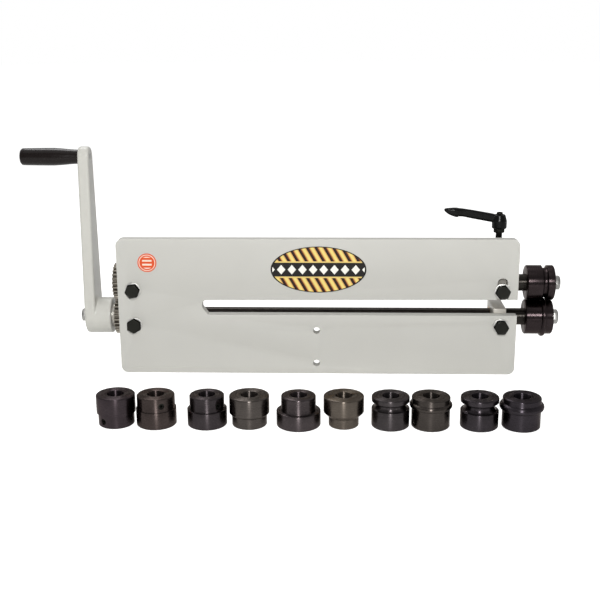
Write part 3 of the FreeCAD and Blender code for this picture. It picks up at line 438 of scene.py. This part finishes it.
def cut_gear_steel(name, axis_height):
    """Hobbed gear steel, coloured darker towards the roots of the teeth and
    lighter at their tips, with a ragged border between."""
    finish = new_finish(name)
    place = add(finish, "TexCoord").outputs["Object"]
    radius, _ = from_axis(finish, place, (0, SHAFT_Y, axis_height), "X")
    # Dark towards the roots of the teeth and light at the tips; this noise makes the border between them
    # ragged.
    film = add(finish, "TexNoise", {"Vector": place, "Scale": size(5), "Detail": 4})
    wander = 3
    darkest_below = 25
    lightest_above = 29.5
    ragged = add(finish, "Math", {
        0: film.outputs["Fac"], 1: wander * MM, 2: radius,
    }, operation="MULTIPLY_ADD")
    share = add(finish, "MapRange", {
        "Value": ragged.outputs[0], "From Min": darkest_below * MM, "From Max": lightest_above * MM,
    })
    colour = add(finish, "ValToRGB", {"Fac": share.outputs["Result"]})
    colour.color_ramp.elements[0].color = linear("#6A655C")
    colour.color_ramp.elements[1].color = linear("#9A948A")
    return close_finish(finish, {
        "Base Color": colour.outputs["Color"],
        "Metallic": 1.0,
        "Roughness": 0.36,
    })


def black_oxide(name, colour, roughness, centre, along):
    """Turned steel, blacked in a hot salt bath. The lathe's rings stay in the
    black skin and pull every highlight into a streak across them. The rings
    are drawn 0.8 mm apart, coarser than a tool leaves them, so that they show."""
    finish = new_finish(name)
    place = add(finish, "TexCoord").outputs["Object"]
    radius, reach = from_axis(finish, place, centre, along)
    both = add(finish, "Math", {0: radius, 1: reach}, operation="ADD")
    ring_spacing = 0.8
    rings = add(finish, "TexNoise", {
        "W": both.outputs[0], "Scale": size(ring_spacing), "Detail": 2,
    }, noise_dimensions="1D")
    patches = add(finish, "TexNoise", {"Vector": place, "Scale": size(12), "Detail": 3})
    tone = add(finish, "MixRGB", {
        "Fac": patches.outputs["Fac"],
        "Color1": linear(colour, 0.8),
        "Color2": linear(colour, 1.25),
    })
    rough = add(finish, "MapRange", {
        "Value": rings.outputs["Fac"], "From Min": 0.3, "From Max": 0.7,
        "To Min": roughness - 0.05, "To Max": roughness + 0.08,
    })
    bump = add(finish, "Bump", {"Height": rings.outputs["Fac"], "Strength": 0.35, "Distance": 0.05 * MM})
    round_about = add(finish, "Tangent", direction_type="RADIAL", axis=along)
    return close_finish(finish, {
        "Base Color": tone.outputs["Color"],
        "Metallic": 1.0,
        "Roughness": rough.outputs["Result"],
        "Specular Tint": linear("#D0CCCA"),
        "Anisotropic": 0.9,
        "Anisotropic Rotation": 0.25,
        "Tangent": round_about.outputs["Tangent"],
        "Normal": bump.outputs["Normal"],
    })


def plain_metal(name, colour, roughness, grain=3.0, depth=0.03, edge="#FFFFFF"):
    """Metal with a faint uneven skin: zinc plate, bronze, forged black, wire."""
    finish = new_finish(name)
    place = add(finish, "TexCoord").outputs["Object"]
    skin = add(finish, "TexNoise", {"Vector": place, "Scale": size(grain), "Detail": 4})
    tone = add(finish, "ValToRGB", {"Fac": skin.outputs["Fac"]})
    tone.color_ramp.elements[0].color = linear(colour, 0.82)
    tone.color_ramp.elements[1].color = linear(colour)
    rough = add(finish, "MapRange", {
        "Value": skin.outputs["Fac"], "From Min": 0.3, "From Max": 0.7,
        "To Min": roughness - 0.06, "To Max": roughness + 0.08,
    })
    bump = add(finish, "Bump", {"Height": skin.outputs["Fac"], "Strength": 0.2, "Distance": depth * MM})
    return close_finish(finish, {
        "Base Color": tone.outputs["Color"],
        "Metallic": 1.0,
        "Roughness": rough.outputs["Result"],
        "Specular Tint": linear(edge),
        "Normal": bump.outputs["Normal"],
    })


def black_plastic(name, colour, roughness, shine, grain, strength):
    """Black phenolic or powder coat: one deep colour with little shine of its
    own, and a skin that shows only in its highlights."""
    finish = new_finish(name)
    place = add(finish, "TexCoord").outputs["Object"]
    skin = add(finish, "TexNoise", {"Vector": place, "Scale": size(grain), "Detail": 2})
    rough = add(finish, "MapRange", {
        "Value": skin.outputs["Fac"], "From Min": 0.3, "From Max": 0.7,
        "To Min": roughness - 0.04, "To Max": roughness + 0.06,
    })
    bump = add(finish, "Bump", {"Height": skin.outputs["Fac"], "Strength": strength, "Distance": 0.1 * MM})
    return close_finish(finish, {
        "Base Color": linear(colour),
        "Roughness": rough.outputs["Result"],
        "IOR": 1.5,
        "Specular IOR Level": shine,
        "Normal": bump.outputs["Normal"],
    })


def printed_film(name, node, paint_over):
    """Vinyl film printed in flat inks under a satin varnish. paint_over gives
    the colour from the place on the badge, where 1 is its edge."""
    finish = new_finish(name)
    place = add(finish, "TexCoord").outputs["Object"]
    low, high, middle = place_of(node)
    half = (high - low) / 2
    flat = add(finish, "Mapping", {
        "Vector": place,
        "Location": (-middle.x / half.x, 0, -middle.z / half.z),
        "Scale": (size(half.x), 0, size(half.z)),
    })
    spread = add(finish, "VectorMath", {0: flat.outputs["Vector"]}, operation="LENGTH")
    split = add(finish, "SeparateXYZ", {"Vector": flat.outputs["Vector"]})
    ink = paint_over(finish, spread.outputs["Value"], split.outputs["X"], split.outputs["Z"])
    dust = add(finish, "TexNoise", {"Vector": place, "Scale": size(4), "Detail": 3})
    rough = add(finish, "MapRange", {"Value": dust.outputs["Fac"], "To Min": 0.3, "To Max": 0.5})
    return close_finish(finish, {
        "Base Color": ink,
        "Roughness": rough.outputs["Result"],
        "IOR": 1.5,
        "Specular IOR Level": 0.25,
    })


def above(finish, value, limit):
    """1 where a value is above a limit, and 0 elsewhere."""
    return add(finish, "Math", {0: value, 1: limit}, operation="GREATER_THAN").outputs[0]


def over(finish, share, under, top):
    """Ink on top of another where a share is 1."""
    return add(finish, "MixRGB", {"Fac": share, "Color1": under, "Color2": top}).outputs["Color"]


def oval_inks(finish, spread, across, up):
    """Slanted bars in warm colours on a brown black, a black belt with a row
    of pale lozenges across the middle, and a thin black edge."""
    slant = add(finish, "Math", {0: up, 1: 0.28, 2: across}, operation="MULTIPLY_ADD")
    steps = add(finish, "Math", {0: slant.outputs[0], 1: 5.5}, operation="MULTIPLY")
    phase = add(finish, "Math", {0: steps.outputs[0]}, operation="FRACT")
    bars = add(finish, "ValToRGB", {"Fac": phase.outputs[0]})
    bars.color_ramp.interpolation = "CONSTANT"
    for number, (start, code) in enumerate(
        ((0.0, "#20120C"), (0.3, "#74301A"), (0.4, "#DDA45E"), (0.52, "#E9D67E"), (0.88, "#DDA45E"))
    ):
        stop = bars.color_ramp.elements[number] if number < 2 else bars.color_ramp.elements.new(start)
        stop.position = start
        stop.color = linear(code)
    height = add(finish, "Math", {0: up}, operation="ABSOLUTE").outputs[0]
    outside = above(finish, height, 0.36)
    rule = above(finish, height, 0.3)
    cell = add(finish, "Math", {0: across, 1: 4.5}, operation="MULTIPLY")
    within = add(finish, "Math", {0: cell.outputs[0]}, operation="FRACT")
    offset = add(finish, "Math", {0: within.outputs[0], 1: 0.5}, operation="SUBTRACT")
    distance = add(finish, "Math", {0: offset.outputs[0]}, operation="ABSOLUTE")
    slope = add(finish, "Math", {0: height, 1: 1.9, 2: distance.outputs[0]}, operation="MULTIPLY_ADD")
    lozenge = add(finish, "Math", {0: slope.outputs[0], 1: 0.4}, operation="LESS_THAN")
    belt = over(finish, lozenge.outputs[0], linear("#15110F"), linear("#F2F0E8"))
    belt = over(finish, rule, belt, linear("#E3C679"))
    field = over(finish, outside, belt, bars.outputs["Color"])
    return over(finish, above(finish, spread, 0.965), field, linear("#15110F"))


def round_inks(finish, spread, across, up):
    """Three short pale bars on orange, inside a pale ring."""
    steps = add(finish, "Math", {0: up, 1: 2.4, 2: 0.25}, operation="MULTIPLY_ADD")
    phase = add(finish, "Math", {0: steps.outputs[0]}, operation="FRACT")
    bars = above(finish, phase.outputs[0], 0.55)
    width = add(finish, "Math", {0: across}, operation="ABSOLUTE")
    beside = above(finish, width.outputs[0], 0.5)
    beyond = above(finish, spread, 0.66)
    outside = add(finish, "Math", {0: beside, 1: beyond}, operation="MAXIMUM")
    shown = add(finish, "Math", {0: bars, 1: outside.outputs[0]}, operation="SUBTRACT", use_clamp=True)
    orange = linear("#DD5528")
    pale = linear("#F3DDCB")
    ink = over(finish, shown.outputs[0], orange, pale)
    ink = over(finish, above(finish, spread, 0.8), ink, pale)
    return over(finish, above(finish, spread, 0.88), ink, orange)


PAINT = powder_coat()
CRANK_PAINT = enamel_on_casting()
GROUND = ground_steel()
ZINC = plain_metal("zinc_plate", "#A3A29F", 0.34)
# A lighter copy of the zinc plate, with painted light, for the washers that face the dim room in front.
LIT_WASHER_ZINC = plain_metal("zinc_plate_painted_lighter", "#CFCECA", 0.4)
BRONZE = plain_metal("bearing_bronze", "#A9813F", 0.3)
BOLT_BLACK = plain_metal("forged_black_steel", "#2C2C29", 0.46, grain=1.5, depth=0.06, edge="#777777")
WIRE = plain_metal("spring_wire_steel", "#8D8C89", 0.3)
WELD = plain_metal("weld_steel", "#9A968E", 0.42, grain=4.0, depth=0.4)
SHAFT_BLACK = black_oxide("blacked_shaft_steel", "#3B3835", 0.36, (0, SHAFT_Y, 100), "X")
GRIP_BLACK = black_plastic("moulded_phenolic", "#150F0E", 0.24, 0.2, 6, 0.15)
LEVER_BLACK = black_plastic("lever_powder_coat", "#0D0D0D", 0.25, 0.13, 0.9, 0.15)
OVAL_FILM = printed_film("printed_vinyl_oval", "oval_badge", oval_inks)
ROUND_FILM = printed_film("printed_vinyl_round", "round_badge", round_inks)

# Each loose die left the blacking bath in its own tone.
LOOSE_TONES = {
    "loose_die_01_step_top": "#3C3538",
    "loose_die_02_step_low": "#433B39",
    "loose_die_03_step_low": "#3D383A",
    "loose_die_04_rim_top": "#4E4946",
    "loose_die_05_flange_low": "#474142",
    "loose_die_06_rim_top": "#5A534C",
    "loose_die_07_groove_small": "#413D3E",
    "loose_die_08_bead_small": "#443F3C",
    "loose_die_09_groove_large": "#393538",
    "loose_die_10_bead_large": "#363236",
}

# Set screws of the loose dies: bearing in degrees and height above the floor.
LOOSE_SCREWS = {
    "loose_die_01_step_top": (236, 8.5),
    "loose_die_02_step_low": (296, 31.0),
    "loose_die_03_step_low": (317, 29.5),
    "loose_die_08_bead_small": (210, 9.0),
}


# Pieces

def hexagon_bolt(length, diameter, flats, head):
    """Hexagon bolt with its seat at zero and its head up the Z axis. The top
    of the head is turned to a shallow cone and slightly dished."""
    deselect()
    bpy.ops.mesh.primitive_cylinder_add(
        vertices=6, radius=flats / math.sqrt(3) * MM, depth=head * MM, location=(0, 0, head / 2 * MM)
    )
    prism = bpy.context.object
    bpy.ops.object.transform_apply(location=True)
    chamfer = math.radians(30)
    rise = flats * 0.105 * math.tan(chamfer)
    cone = turned([
        (-1, 0), (-1, flats * 0.62), (head - rise, flats * 0.58), (head, flats * 0.475), (head, 0),
    ], sides=96)
    cut_with(prism, cone, "INTERSECT")
    pick_faces(prism, lambda middle, normal: normal.z > 0.99 and middle.z > head - 0.01)
    bpy.ops.mesh.inset(thickness=flats * 0.05 * MM, depth=-0.35 * MM)
    bpy.ops.object.mode_set(mode="OBJECT")
    round_edges(prism, 0.35, 3, 20)
    shank = turned([
        (-length, 0), (-length, diameter / 2 - 1), (1 - length, diameter / 2), (0, diameter / 2), (1, 0),
    ], sides=48)
    bolt = joined([prism, shank])
    smooth(bolt, 30)
    return bolt


def hexagon_socket(depth):
    """Cutting tool for a hexagon socket whose mouth is at zero on the Z axis."""
    deselect()
    past = 2
    bpy.ops.mesh.primitive_cylinder_add(
        vertices=6, radius=SOCKET_FLATS / math.sqrt(3) * MM, depth=(depth + past) * MM,
        location=(0, 0, (past - depth) / 2 * MM),
    )
    bpy.ops.object.transform_apply(location=True)
    return bpy.context.object


def block_bolts():
    """Four bolts through the plate, each stopped at its own angle."""
    for level, height, turns in (("lower", LOWER_AXIS_Z, (0, 30)), ("upper", UPPER_AXIS_Z, (-21, 39))):
        seat = place_of(f"{level}_washers")[0].y
        length = place_of(f"{level}_bolts")[1].y - seat
        pair = []
        for side, turn in zip((-1, 1), turns):
            bolt = moved(hexagon_bolt(length, **BLOCK_BOLT), (0, 0, 0), (0, 0, turn))
            pair.append(moved(bolt, (side * BOLT_X, seat, height), (90, 0, 0)))
        fit_piece(joined(pair), f"{level}_hex_bolts", BOLT_BLACK, "black_bolt", f"{level}_bolts")
        # The washers take the copy of the zinc plate that has painted light in its colour.
        washers = softened(f"{level}_washers", 0.4)
        fit_piece(washers, f"{level}_flat_washers", LIT_WASHER_ZINC, "zinc", f"{level}_washers")


def end_bolts():
    """Zinc plated bolts and washers at the die end of each shaft."""
    for level, height, turn in (("lower", LOWER_AXIS_Z, 12), ("upper", UPPER_AXIS_Z, 0)):
        seat = place_of(f"{level}_end_washer")[1].x
        length = seat - place_of(f"{level}_end_bolt")[0].x
        bolt = moved(hexagon_bolt(length, **BLOCK_BOLT), (0, 0, 0), (0, 0, turn))
        moved(bolt, (seat, SHAFT_Y, height), (0, 90, 0))
        fit_piece(bolt, f"{level}_die_bolt", ZINC, "zinc", f"{level}_end_bolt")
        washer = softened(f"{level}_end_washer", 0.4)
        fit_piece(washer, f"{level}_die_washer", ZINC, "zinc", f"{level}_end_washer")


def crank_casting():
    """Arm and hub cast in one, with soft corners, then bored."""
    low, high, _ = place_of("crank_arm")
    depth = high.x - low.x
    shaft_room = 0.5
    recess = place_of("lower_shaft")[0].x - low.x - shaft_room
    overlap = 2
    skin = 0.5
    pin_plug_end = 16
    past = 5
    solid = copy_of("crank_arm")
    shaft_plug = rod(SHAFT_RADIUS + overlap, skin, depth - skin)
    moved(shaft_plug, (low.x, SHAFT_Y, LOWER_AXIS_Z), (0, 90, 0))
    pin_plug = rod(PIN_RADIUS + overlap, skin, pin_plug_end)
    moved(pin_plug, (low.x, SHAFT_Y, GRIP_Z), (0, 90, 0))
    casting = joined([solid, shaft_plug, pin_plug])
    cast_over(casting, 1.0, 6)
    for radius, start, end, height in (
        (SHAFT_RADIUS + FIT, recess, depth + past, LOWER_AXIS_Z),
        (CRANK_BOLT["diameter"] / 2 + 0.5, -past, recess + 1, LOWER_AXIS_Z),
        (PIN_RADIUS + FIT, -past, depth, GRIP_Z),
    ):
        cut_with(casting, moved(rod(radius, start, end), (low.x, SHAFT_Y, height), (0, 90, 0)))
    smooth(casting, 40)
    fit_piece(casting, "crank_casting", CRANK_PAINT, "crank_paint", "crank_arm")


def crank_pieces():
    """The crank's bolt, and the grip and its pin."""
    seat = place_of("crank_washer")[0].x
    length = place_of("crank_bolt")[1].x - seat
    bolt = moved(hexagon_bolt(length, **CRANK_BOLT), (seat, SHAFT_Y, LOWER_AXIS_Z), (0, -90, 0))
    fit_piece(bolt, "crank_hex_bolt", ZINC, "zinc", "crank_bolt")
    fit_piece(softened("crank_washer", 0.4), "crank_flat_washer", ZINC, "zinc", "crank_washer")
    grip = turned([
        (0.3, 5.1), (0.3, 9.6), (1.2, 10.3), (12, 10.9), (24, 12.1), (36.5, 12.9), (50, 12.85), (64, 12.7),
        (76, 12.55), (82.2, 12.4), (83.6, 11.9), (85.2, 10.2), (85.3, 9.4), (85.0, 8.5),
        (79.8, 8.5), (79.8, 5.1),
    ], sides=96, closed=True)
    round_edges(grip, 0.3, 2, 40)
    moved(grip, (CRANK_OUTER_X, SHAFT_Y, GRIP_Z), (0, -90, 0))
    smooth(grip, 30)
    fit_piece(grip, "grip_moulding", GRIP_BLACK, "grip_plastic", "crank_grip")
    fit_piece(softened("grip_pin", 0.6), "grip_shoulder_pin", ZINC, "zinc", "grip_pin")


def dies():
    """Softened copies of all twelve dies, each with rings about its own axis."""
    edge = 0.45
    for node, tone in LOOSE_TONES.items():
        middle = place_of(node)[2]
        black = black_oxide(f"{node}_steel", tone, 0.3, (middle.x, middle.y, 0), "Z")
        fit_piece(softened(node, edge), f"{node}_turned", black, "black_oxide", node)
    for level, height in SHAFT_LEVELS:
        node = f"{level}_die"
        black = black_oxide(f"{node}_steel", "#352E2F", 0.28, (0, SHAFT_Y, height), "X")
        fit_piece(softened(node, edge), f"{node}_turned", black, "black_oxide", node)


def set_screws():
    """Set screws of the dies, each with its hexagon socket."""
    screws = softened("loose_die_screws", 0.3)
    own_screw_within = 30
    for node, (bearing, height) in LOOSE_SCREWS.items():
        middle = place_of(node)[2]
        centre = Vector((middle.x, middle.y, height))
        reach = Vector((math.cos(math.radians(bearing)), math.sin(math.radians(bearing)), 0))
        offsets = [point.co / MM - centre for point in screws.data.vertices]
        mouth = max(offset.dot(reach) for offset in offsets if offset.length < own_screw_within)
        tool = moved(hexagon_socket(4), (0, 0, 0), (0, 90, 0))
        moved(tool, centre + reach * mouth, (0, 0, bearing))
        cut_with(screws, tool)
    smooth(screws, 30)
    fit_piece(screws, "loose_die_socket_screws", BOLT_BLACK, "black_bolt", "loose_die_screws")
    for level in ("lower", "upper"):
        node = f"{level}_die_screw"
        _, high, middle = place_of(node)
        screw = softened(node, 0.3)
        cut_with(screw, moved(hexagon_socket(4), (middle.x, high.y, middle.z), (-90, 0, 0)))
        smooth(screw, 30)
        fit_piece(screw, f"{level}_die_socket_screw", BOLT_BLACK, "black_bolt", node)


def gears():
    """Gears with the burrs taken off their teeth."""
    for level, height in SHAFT_LEVELS:
        steel = cut_gear_steel(f"{level}_hobbed_steel", height)
        gear = softened(f"{level}_gear", 0.2, 1)
        fit_piece(gear, f"{level}_gear_hobbed", steel, "gear_steel", f"{level}_gear")


def plate():
    piece = softened("frame_plate", 0.9, 3)
    fit_piece(piece, "plate_painted", PAINT, "plate_paint", "frame_plate")


def bearing_blocks():
    for level in ("lower", "upper"):
        for side in ("front", "rear"):
            node = f"{level}_{side}_block"
            fit_piece(softened(node, 0.3), f"{node}_ground", GROUND, "ground_steel", node)
    nut_block = softened("adjuster_nut_block", 0.6)
    fit_piece(nut_block, "nut_block_ground", GROUND, "ground_steel", "adjuster_nut_block")


def adjuster():
    """Threaded screw, the insert on top of it, the lever's own screw, and the
    spring under its head, on a mesh of its own."""
    low, high, _ = place_of("adjuster_screw")
    insert_low = place_of("lever_insert")[0].z
    shoulder = place_of("thrust_foot")[1].z + 0.2
    tip_radius = 3
    root_radius = 4.3
    ridge_depth = 0.72
    core = turned([
        (low.z, 0), (low.z, tip_radius), (shoulder, tip_radius), (shoulder, 3.4),
        (shoulder + 1, root_radius), (insert_low - 1, root_radius),
        (insert_low, SCREW_RADIUS), (high.z, SCREW_RADIUS), (high.z, 0),
    ])
    ridge = helical_ridge(SCREW_RADIUS, ridge_depth, SCREW_PITCH, shoulder + 2, insert_low - 1.2)
    screw = moved(joined([core, ridge]), (BOLT_X, SHAFT_Y, 0))
    smooth(screw, 30)
    fit_piece(screw, "adjuster_thread", BOLT_BLACK, "black_bolt", "adjuster_screw")
    insert = softened("lever_insert", 0.5, 3)
    fit_piece(insert, "lever_insert_turned", BOLT_BLACK, "black_bolt", "lever_insert")
    cap = softened("lever_cap_screw", 0.5, 3)
    cut_with(cap, moved(hexagon_socket(2), (BOLT_X, SHAFT_Y, place_of("lever_cap_screw")[1].z)))
    smooth(cap, 30)
    fit_piece(cap, "lever_socket_screw", BOLT_BLACK, "black_bolt", "lever_cap_screw")
    low, high, middle = place_of("lever_spring")
    spring = copy_of("lever_spring")
    smooth(spring, 50)
    fit_piece(spring, "lever_spring_coil", WIRE, "spring_steel", "lever_spring")
    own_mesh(spring)


def lever():
    """Die cast lever: a hub that tapers upwards, its skirt over the insert's
    collar, and a rising arm that ends in a thumb pad."""
    seat = place_of("clamping_lever")[0].z
    collar_low, collar_high, _ = place_of("lever_insert")
    skirt = (collar_high.x - collar_low.x) / 2 + 0.4
    skirt_low = seat - 2.4
    hub_radius = 10.9
    hub_top = seat + 18.5
    cap_radius = 5.3
    cap_seat = collar_high.z + 2.3
    neck_radius = 2.9
    stem_radius = 5.7
    stem_top = collar_high.z + 0.4
    hub = turned([
        (skirt_low, skirt), (skirt_low, 9.7), (seat - 1.6, 10.5), (seat - 0.4, hub_radius),
        (seat + 8.8, hub_radius), (seat + 10.2, 10.6), (seat + 17.4, 8.5), (seat + 18.2, 7.8),
        (hub_top, 6.8), (hub_top, cap_radius), (cap_seat, cap_radius), (cap_seat, neck_radius),
        (stem_top, neck_radius), (stem_top, stem_radius), (seat, stem_radius), (seat, skirt),
    ], closed=True)
    moved(hub, (BOLT_X, SHAFT_Y, 0))
    arm = moved(drawn_out([
        (7.0, seat + 12.7, 6.2, 4.9),
        (12.0, seat + 13.6, 6.4, 4.8),
        (39.0, seat + 18.5, 6.3, 4.4),
        (54.0, seat + 21.2, 5.9, 4.3),
        (60.0, seat + 21.6, 6.1, 4.9),
        (62.4, seat + 21.2, 7.0, 5.4),
        (66.5, seat + 21.8, 6.5, 5.6),
        (71.5, seat + 22.5, 5.5, 5.2),
        (76.0, seat + 23.5, 4.2, 4.4),
        (79.3, seat + 24.6, 2.7, 3.2),
        (81.2, seat + 25.3, 1.2, 1.6),
    ]), (0, 0, 0), (0, -90, 0))
    moved(arm, (BOLT_X, SHAFT_Y, 0))
    casting = joined([hub, arm])
    cast_over(casting, 0.42, 4)
    smooth(casting, 50)
    fit_piece(casting, "lever_casting", LEVER_BLACK, "lever_coat", "clamping_lever")


def remaining_nodes():
    """Finishes for the CAD pieces that are shown as they are."""
    finish_of = {
        "ground_steel": GROUND,
        "gear_steel": GROUND,
        "zinc": ZINC,
        "bronze": BRONZE,
        "black_bolt": BOLT_BLACK,
        "black_shaft": SHAFT_BLACK,
        "black_oxide": SHAFT_BLACK,
        "spring_steel": WIRE,
        "weld": WELD,
        "grip_plastic": GRIP_BLACK,
        "lever_coat": LEVER_BLACK,
        "plate_paint": PAINT,
        "crank_paint": CRANK_PAINT,
        "oval_print": OVAL_FILM,
        "round_print": ROUND_FILM,
    }
    for part in frame["record"]["subparts"]:
        cad = frame["nodes"][part["node"]]
        if not cad.hide_render:
            cad.data.materials.clear()
            cad.data.materials.append(finish_of[part["material_slot"]])
            cad["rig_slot"] = part["material_slot"]


# Studio

# How bright the white room is in a mirror, where 1 is as the camera sees it.
MIRRORED_SHARE = 0.55


def camera():
    """Camera that was fitted to the plate's straight edges in the photograph."""
    place = (25.35, -1430.0, 494.0)
    tilt = math.radians(74.987)
    heading = math.radians(1.990)
    roll = -0.0052
    bpy.ops.object.camera_add()
    eye = bpy.context.object
    eye.data.sensor_width = 36
    eye.data.lens = 60.886
    eye.data.clip_end = 50
    turn = Euler((tilt, 0, heading)).to_matrix().to_4x4()
    eye.matrix_world = Matrix.Translation(Vector(place) * MM) @ turn @ Matrix.Rotation(roll, 4, "Z")
    bpy.context.scene.camera = eye


def lamp(name, place, target, width, height, power):
    """Rectangular soft light that faces a point."""
    data = bpy.data.lights.new(name, "AREA")
    data.shape = "RECTANGLE"
    data.size = width
    data.size_y = height
    data.energy = power
    light = bpy.data.objects.new(name, data)
    bpy.context.scene.collection.objects.link(light)
    light.location = place
    light.rotation_euler = (Vector(target) - Vector(place)).to_track_quat("-Z", "Y").to_euler()


def seen_share(material):
    """1 for rays from the camera, MIRRORED_SHARE for rays that a gloss or a
    glass sends out, and 0 for others."""
    path = add(material, "LightPath")
    bounced = add(material, "Math", {
        0: path.outputs["Is Glossy Ray"], 1: path.outputs["Is Transmission Ray"],
    }, operation="MAXIMUM")
    dimmed = add(material, "Math", {0: bounced.outputs[0], 1: MIRRORED_SHARE}, operation="MULTIPLY")
    return add(material, "Math", {
        0: dimmed.outputs[0], 1: path.outputs["Is Camera Ray"],
    }, operation="MAXIMUM").outputs[0]


def studio():
    """White floor and surroundings. The room in front of the machine is dimmer
    in reflections, and the main light stands above and behind the camera."""
    white = (1, 1, 1, 1)
    floor_drop = 0.5
    world = bpy.data.worlds.new("white_studio")
    world.use_nodes = True
    world.node_tree.nodes.clear()
    shown = add(world, "MapRange", {"Value": seen_share(world), "To Min": 0.25, "To Max": 1.0})
    way = add(world, "SeparateXYZ", {"Vector": add(world, "TexCoord").outputs["Generated"]})
    room = add(world, "MapRange", {
        "Value": way.outputs["Y"], "From Min": -0.7, "From Max": 0.4, "To Min": 0.5, "To Max": 1.0,
    })
    mirrored = add(world, "LightPath").outputs["Is Glossy Ray"]
    dimming = add(world, "MixRGB", {"Fac": mirrored, "Color1": white, "Color2": room.outputs["Result"]})
    glow = add(world, "Background", {
        "Color": dimming.outputs["Color"], "Strength": shown.outputs["Result"],
    })
    add(world, "OutputWorld", {"Surface": glow.outputs["Background"]})
    bpy.context.scene.world = world

    deselect()
    bpy.ops.mesh.primitive_circle_add(
        vertices=96, radius=14, fill_type="NGON", location=(0, 0, -floor_drop * MM)
    )
    floor = bpy.context.object
    floor.name = "studio_floor"
    bpy.ops.object.transform_apply(location=True)
    card = new_finish("white_card")
    paper = add(card, "BsdfDiffuse", {"Color": linear("#E6E6E4")})
    lift = add(card, "Math", {0: seen_share(card), 1: 0.83}, operation="MULTIPLY")
    shine = add(card, "Emission", {"Color": white, "Strength": lift.outputs[0]})
    both = add(card, "AddShader", {0: paper.outputs["BSDF"], 1: shine.outputs["Emission"]})
    add(card, "OutputMaterial", {"Surface": both.outputs["Shader"]})
    floor.data.materials.append(card)

    lamp("front_light", (0.03, -1.9, 0.95), (0.0, 0.0, 0.12), 0.2, 0.4, 29.5)
    lamp("top_light", (-0.4, -0.5, 2.0), (0.0, 0.0, 0.0), 1.6, 1.2, 4)
    lamp("back_light", (-0.7, 1.1, 2.0), (0.0, 0.0, 0.12), 0.9, 0.9, 16)


block_bolts()
end_bolts()
crank_casting()
crank_pieces()
dies()
set_screws()
gears()
plate()
bearing_blocks()
adjuster()
lever()
remaining_nodes()
camera()
studio()
bpy.context.scene.view_settings.view_transform = "Standard"
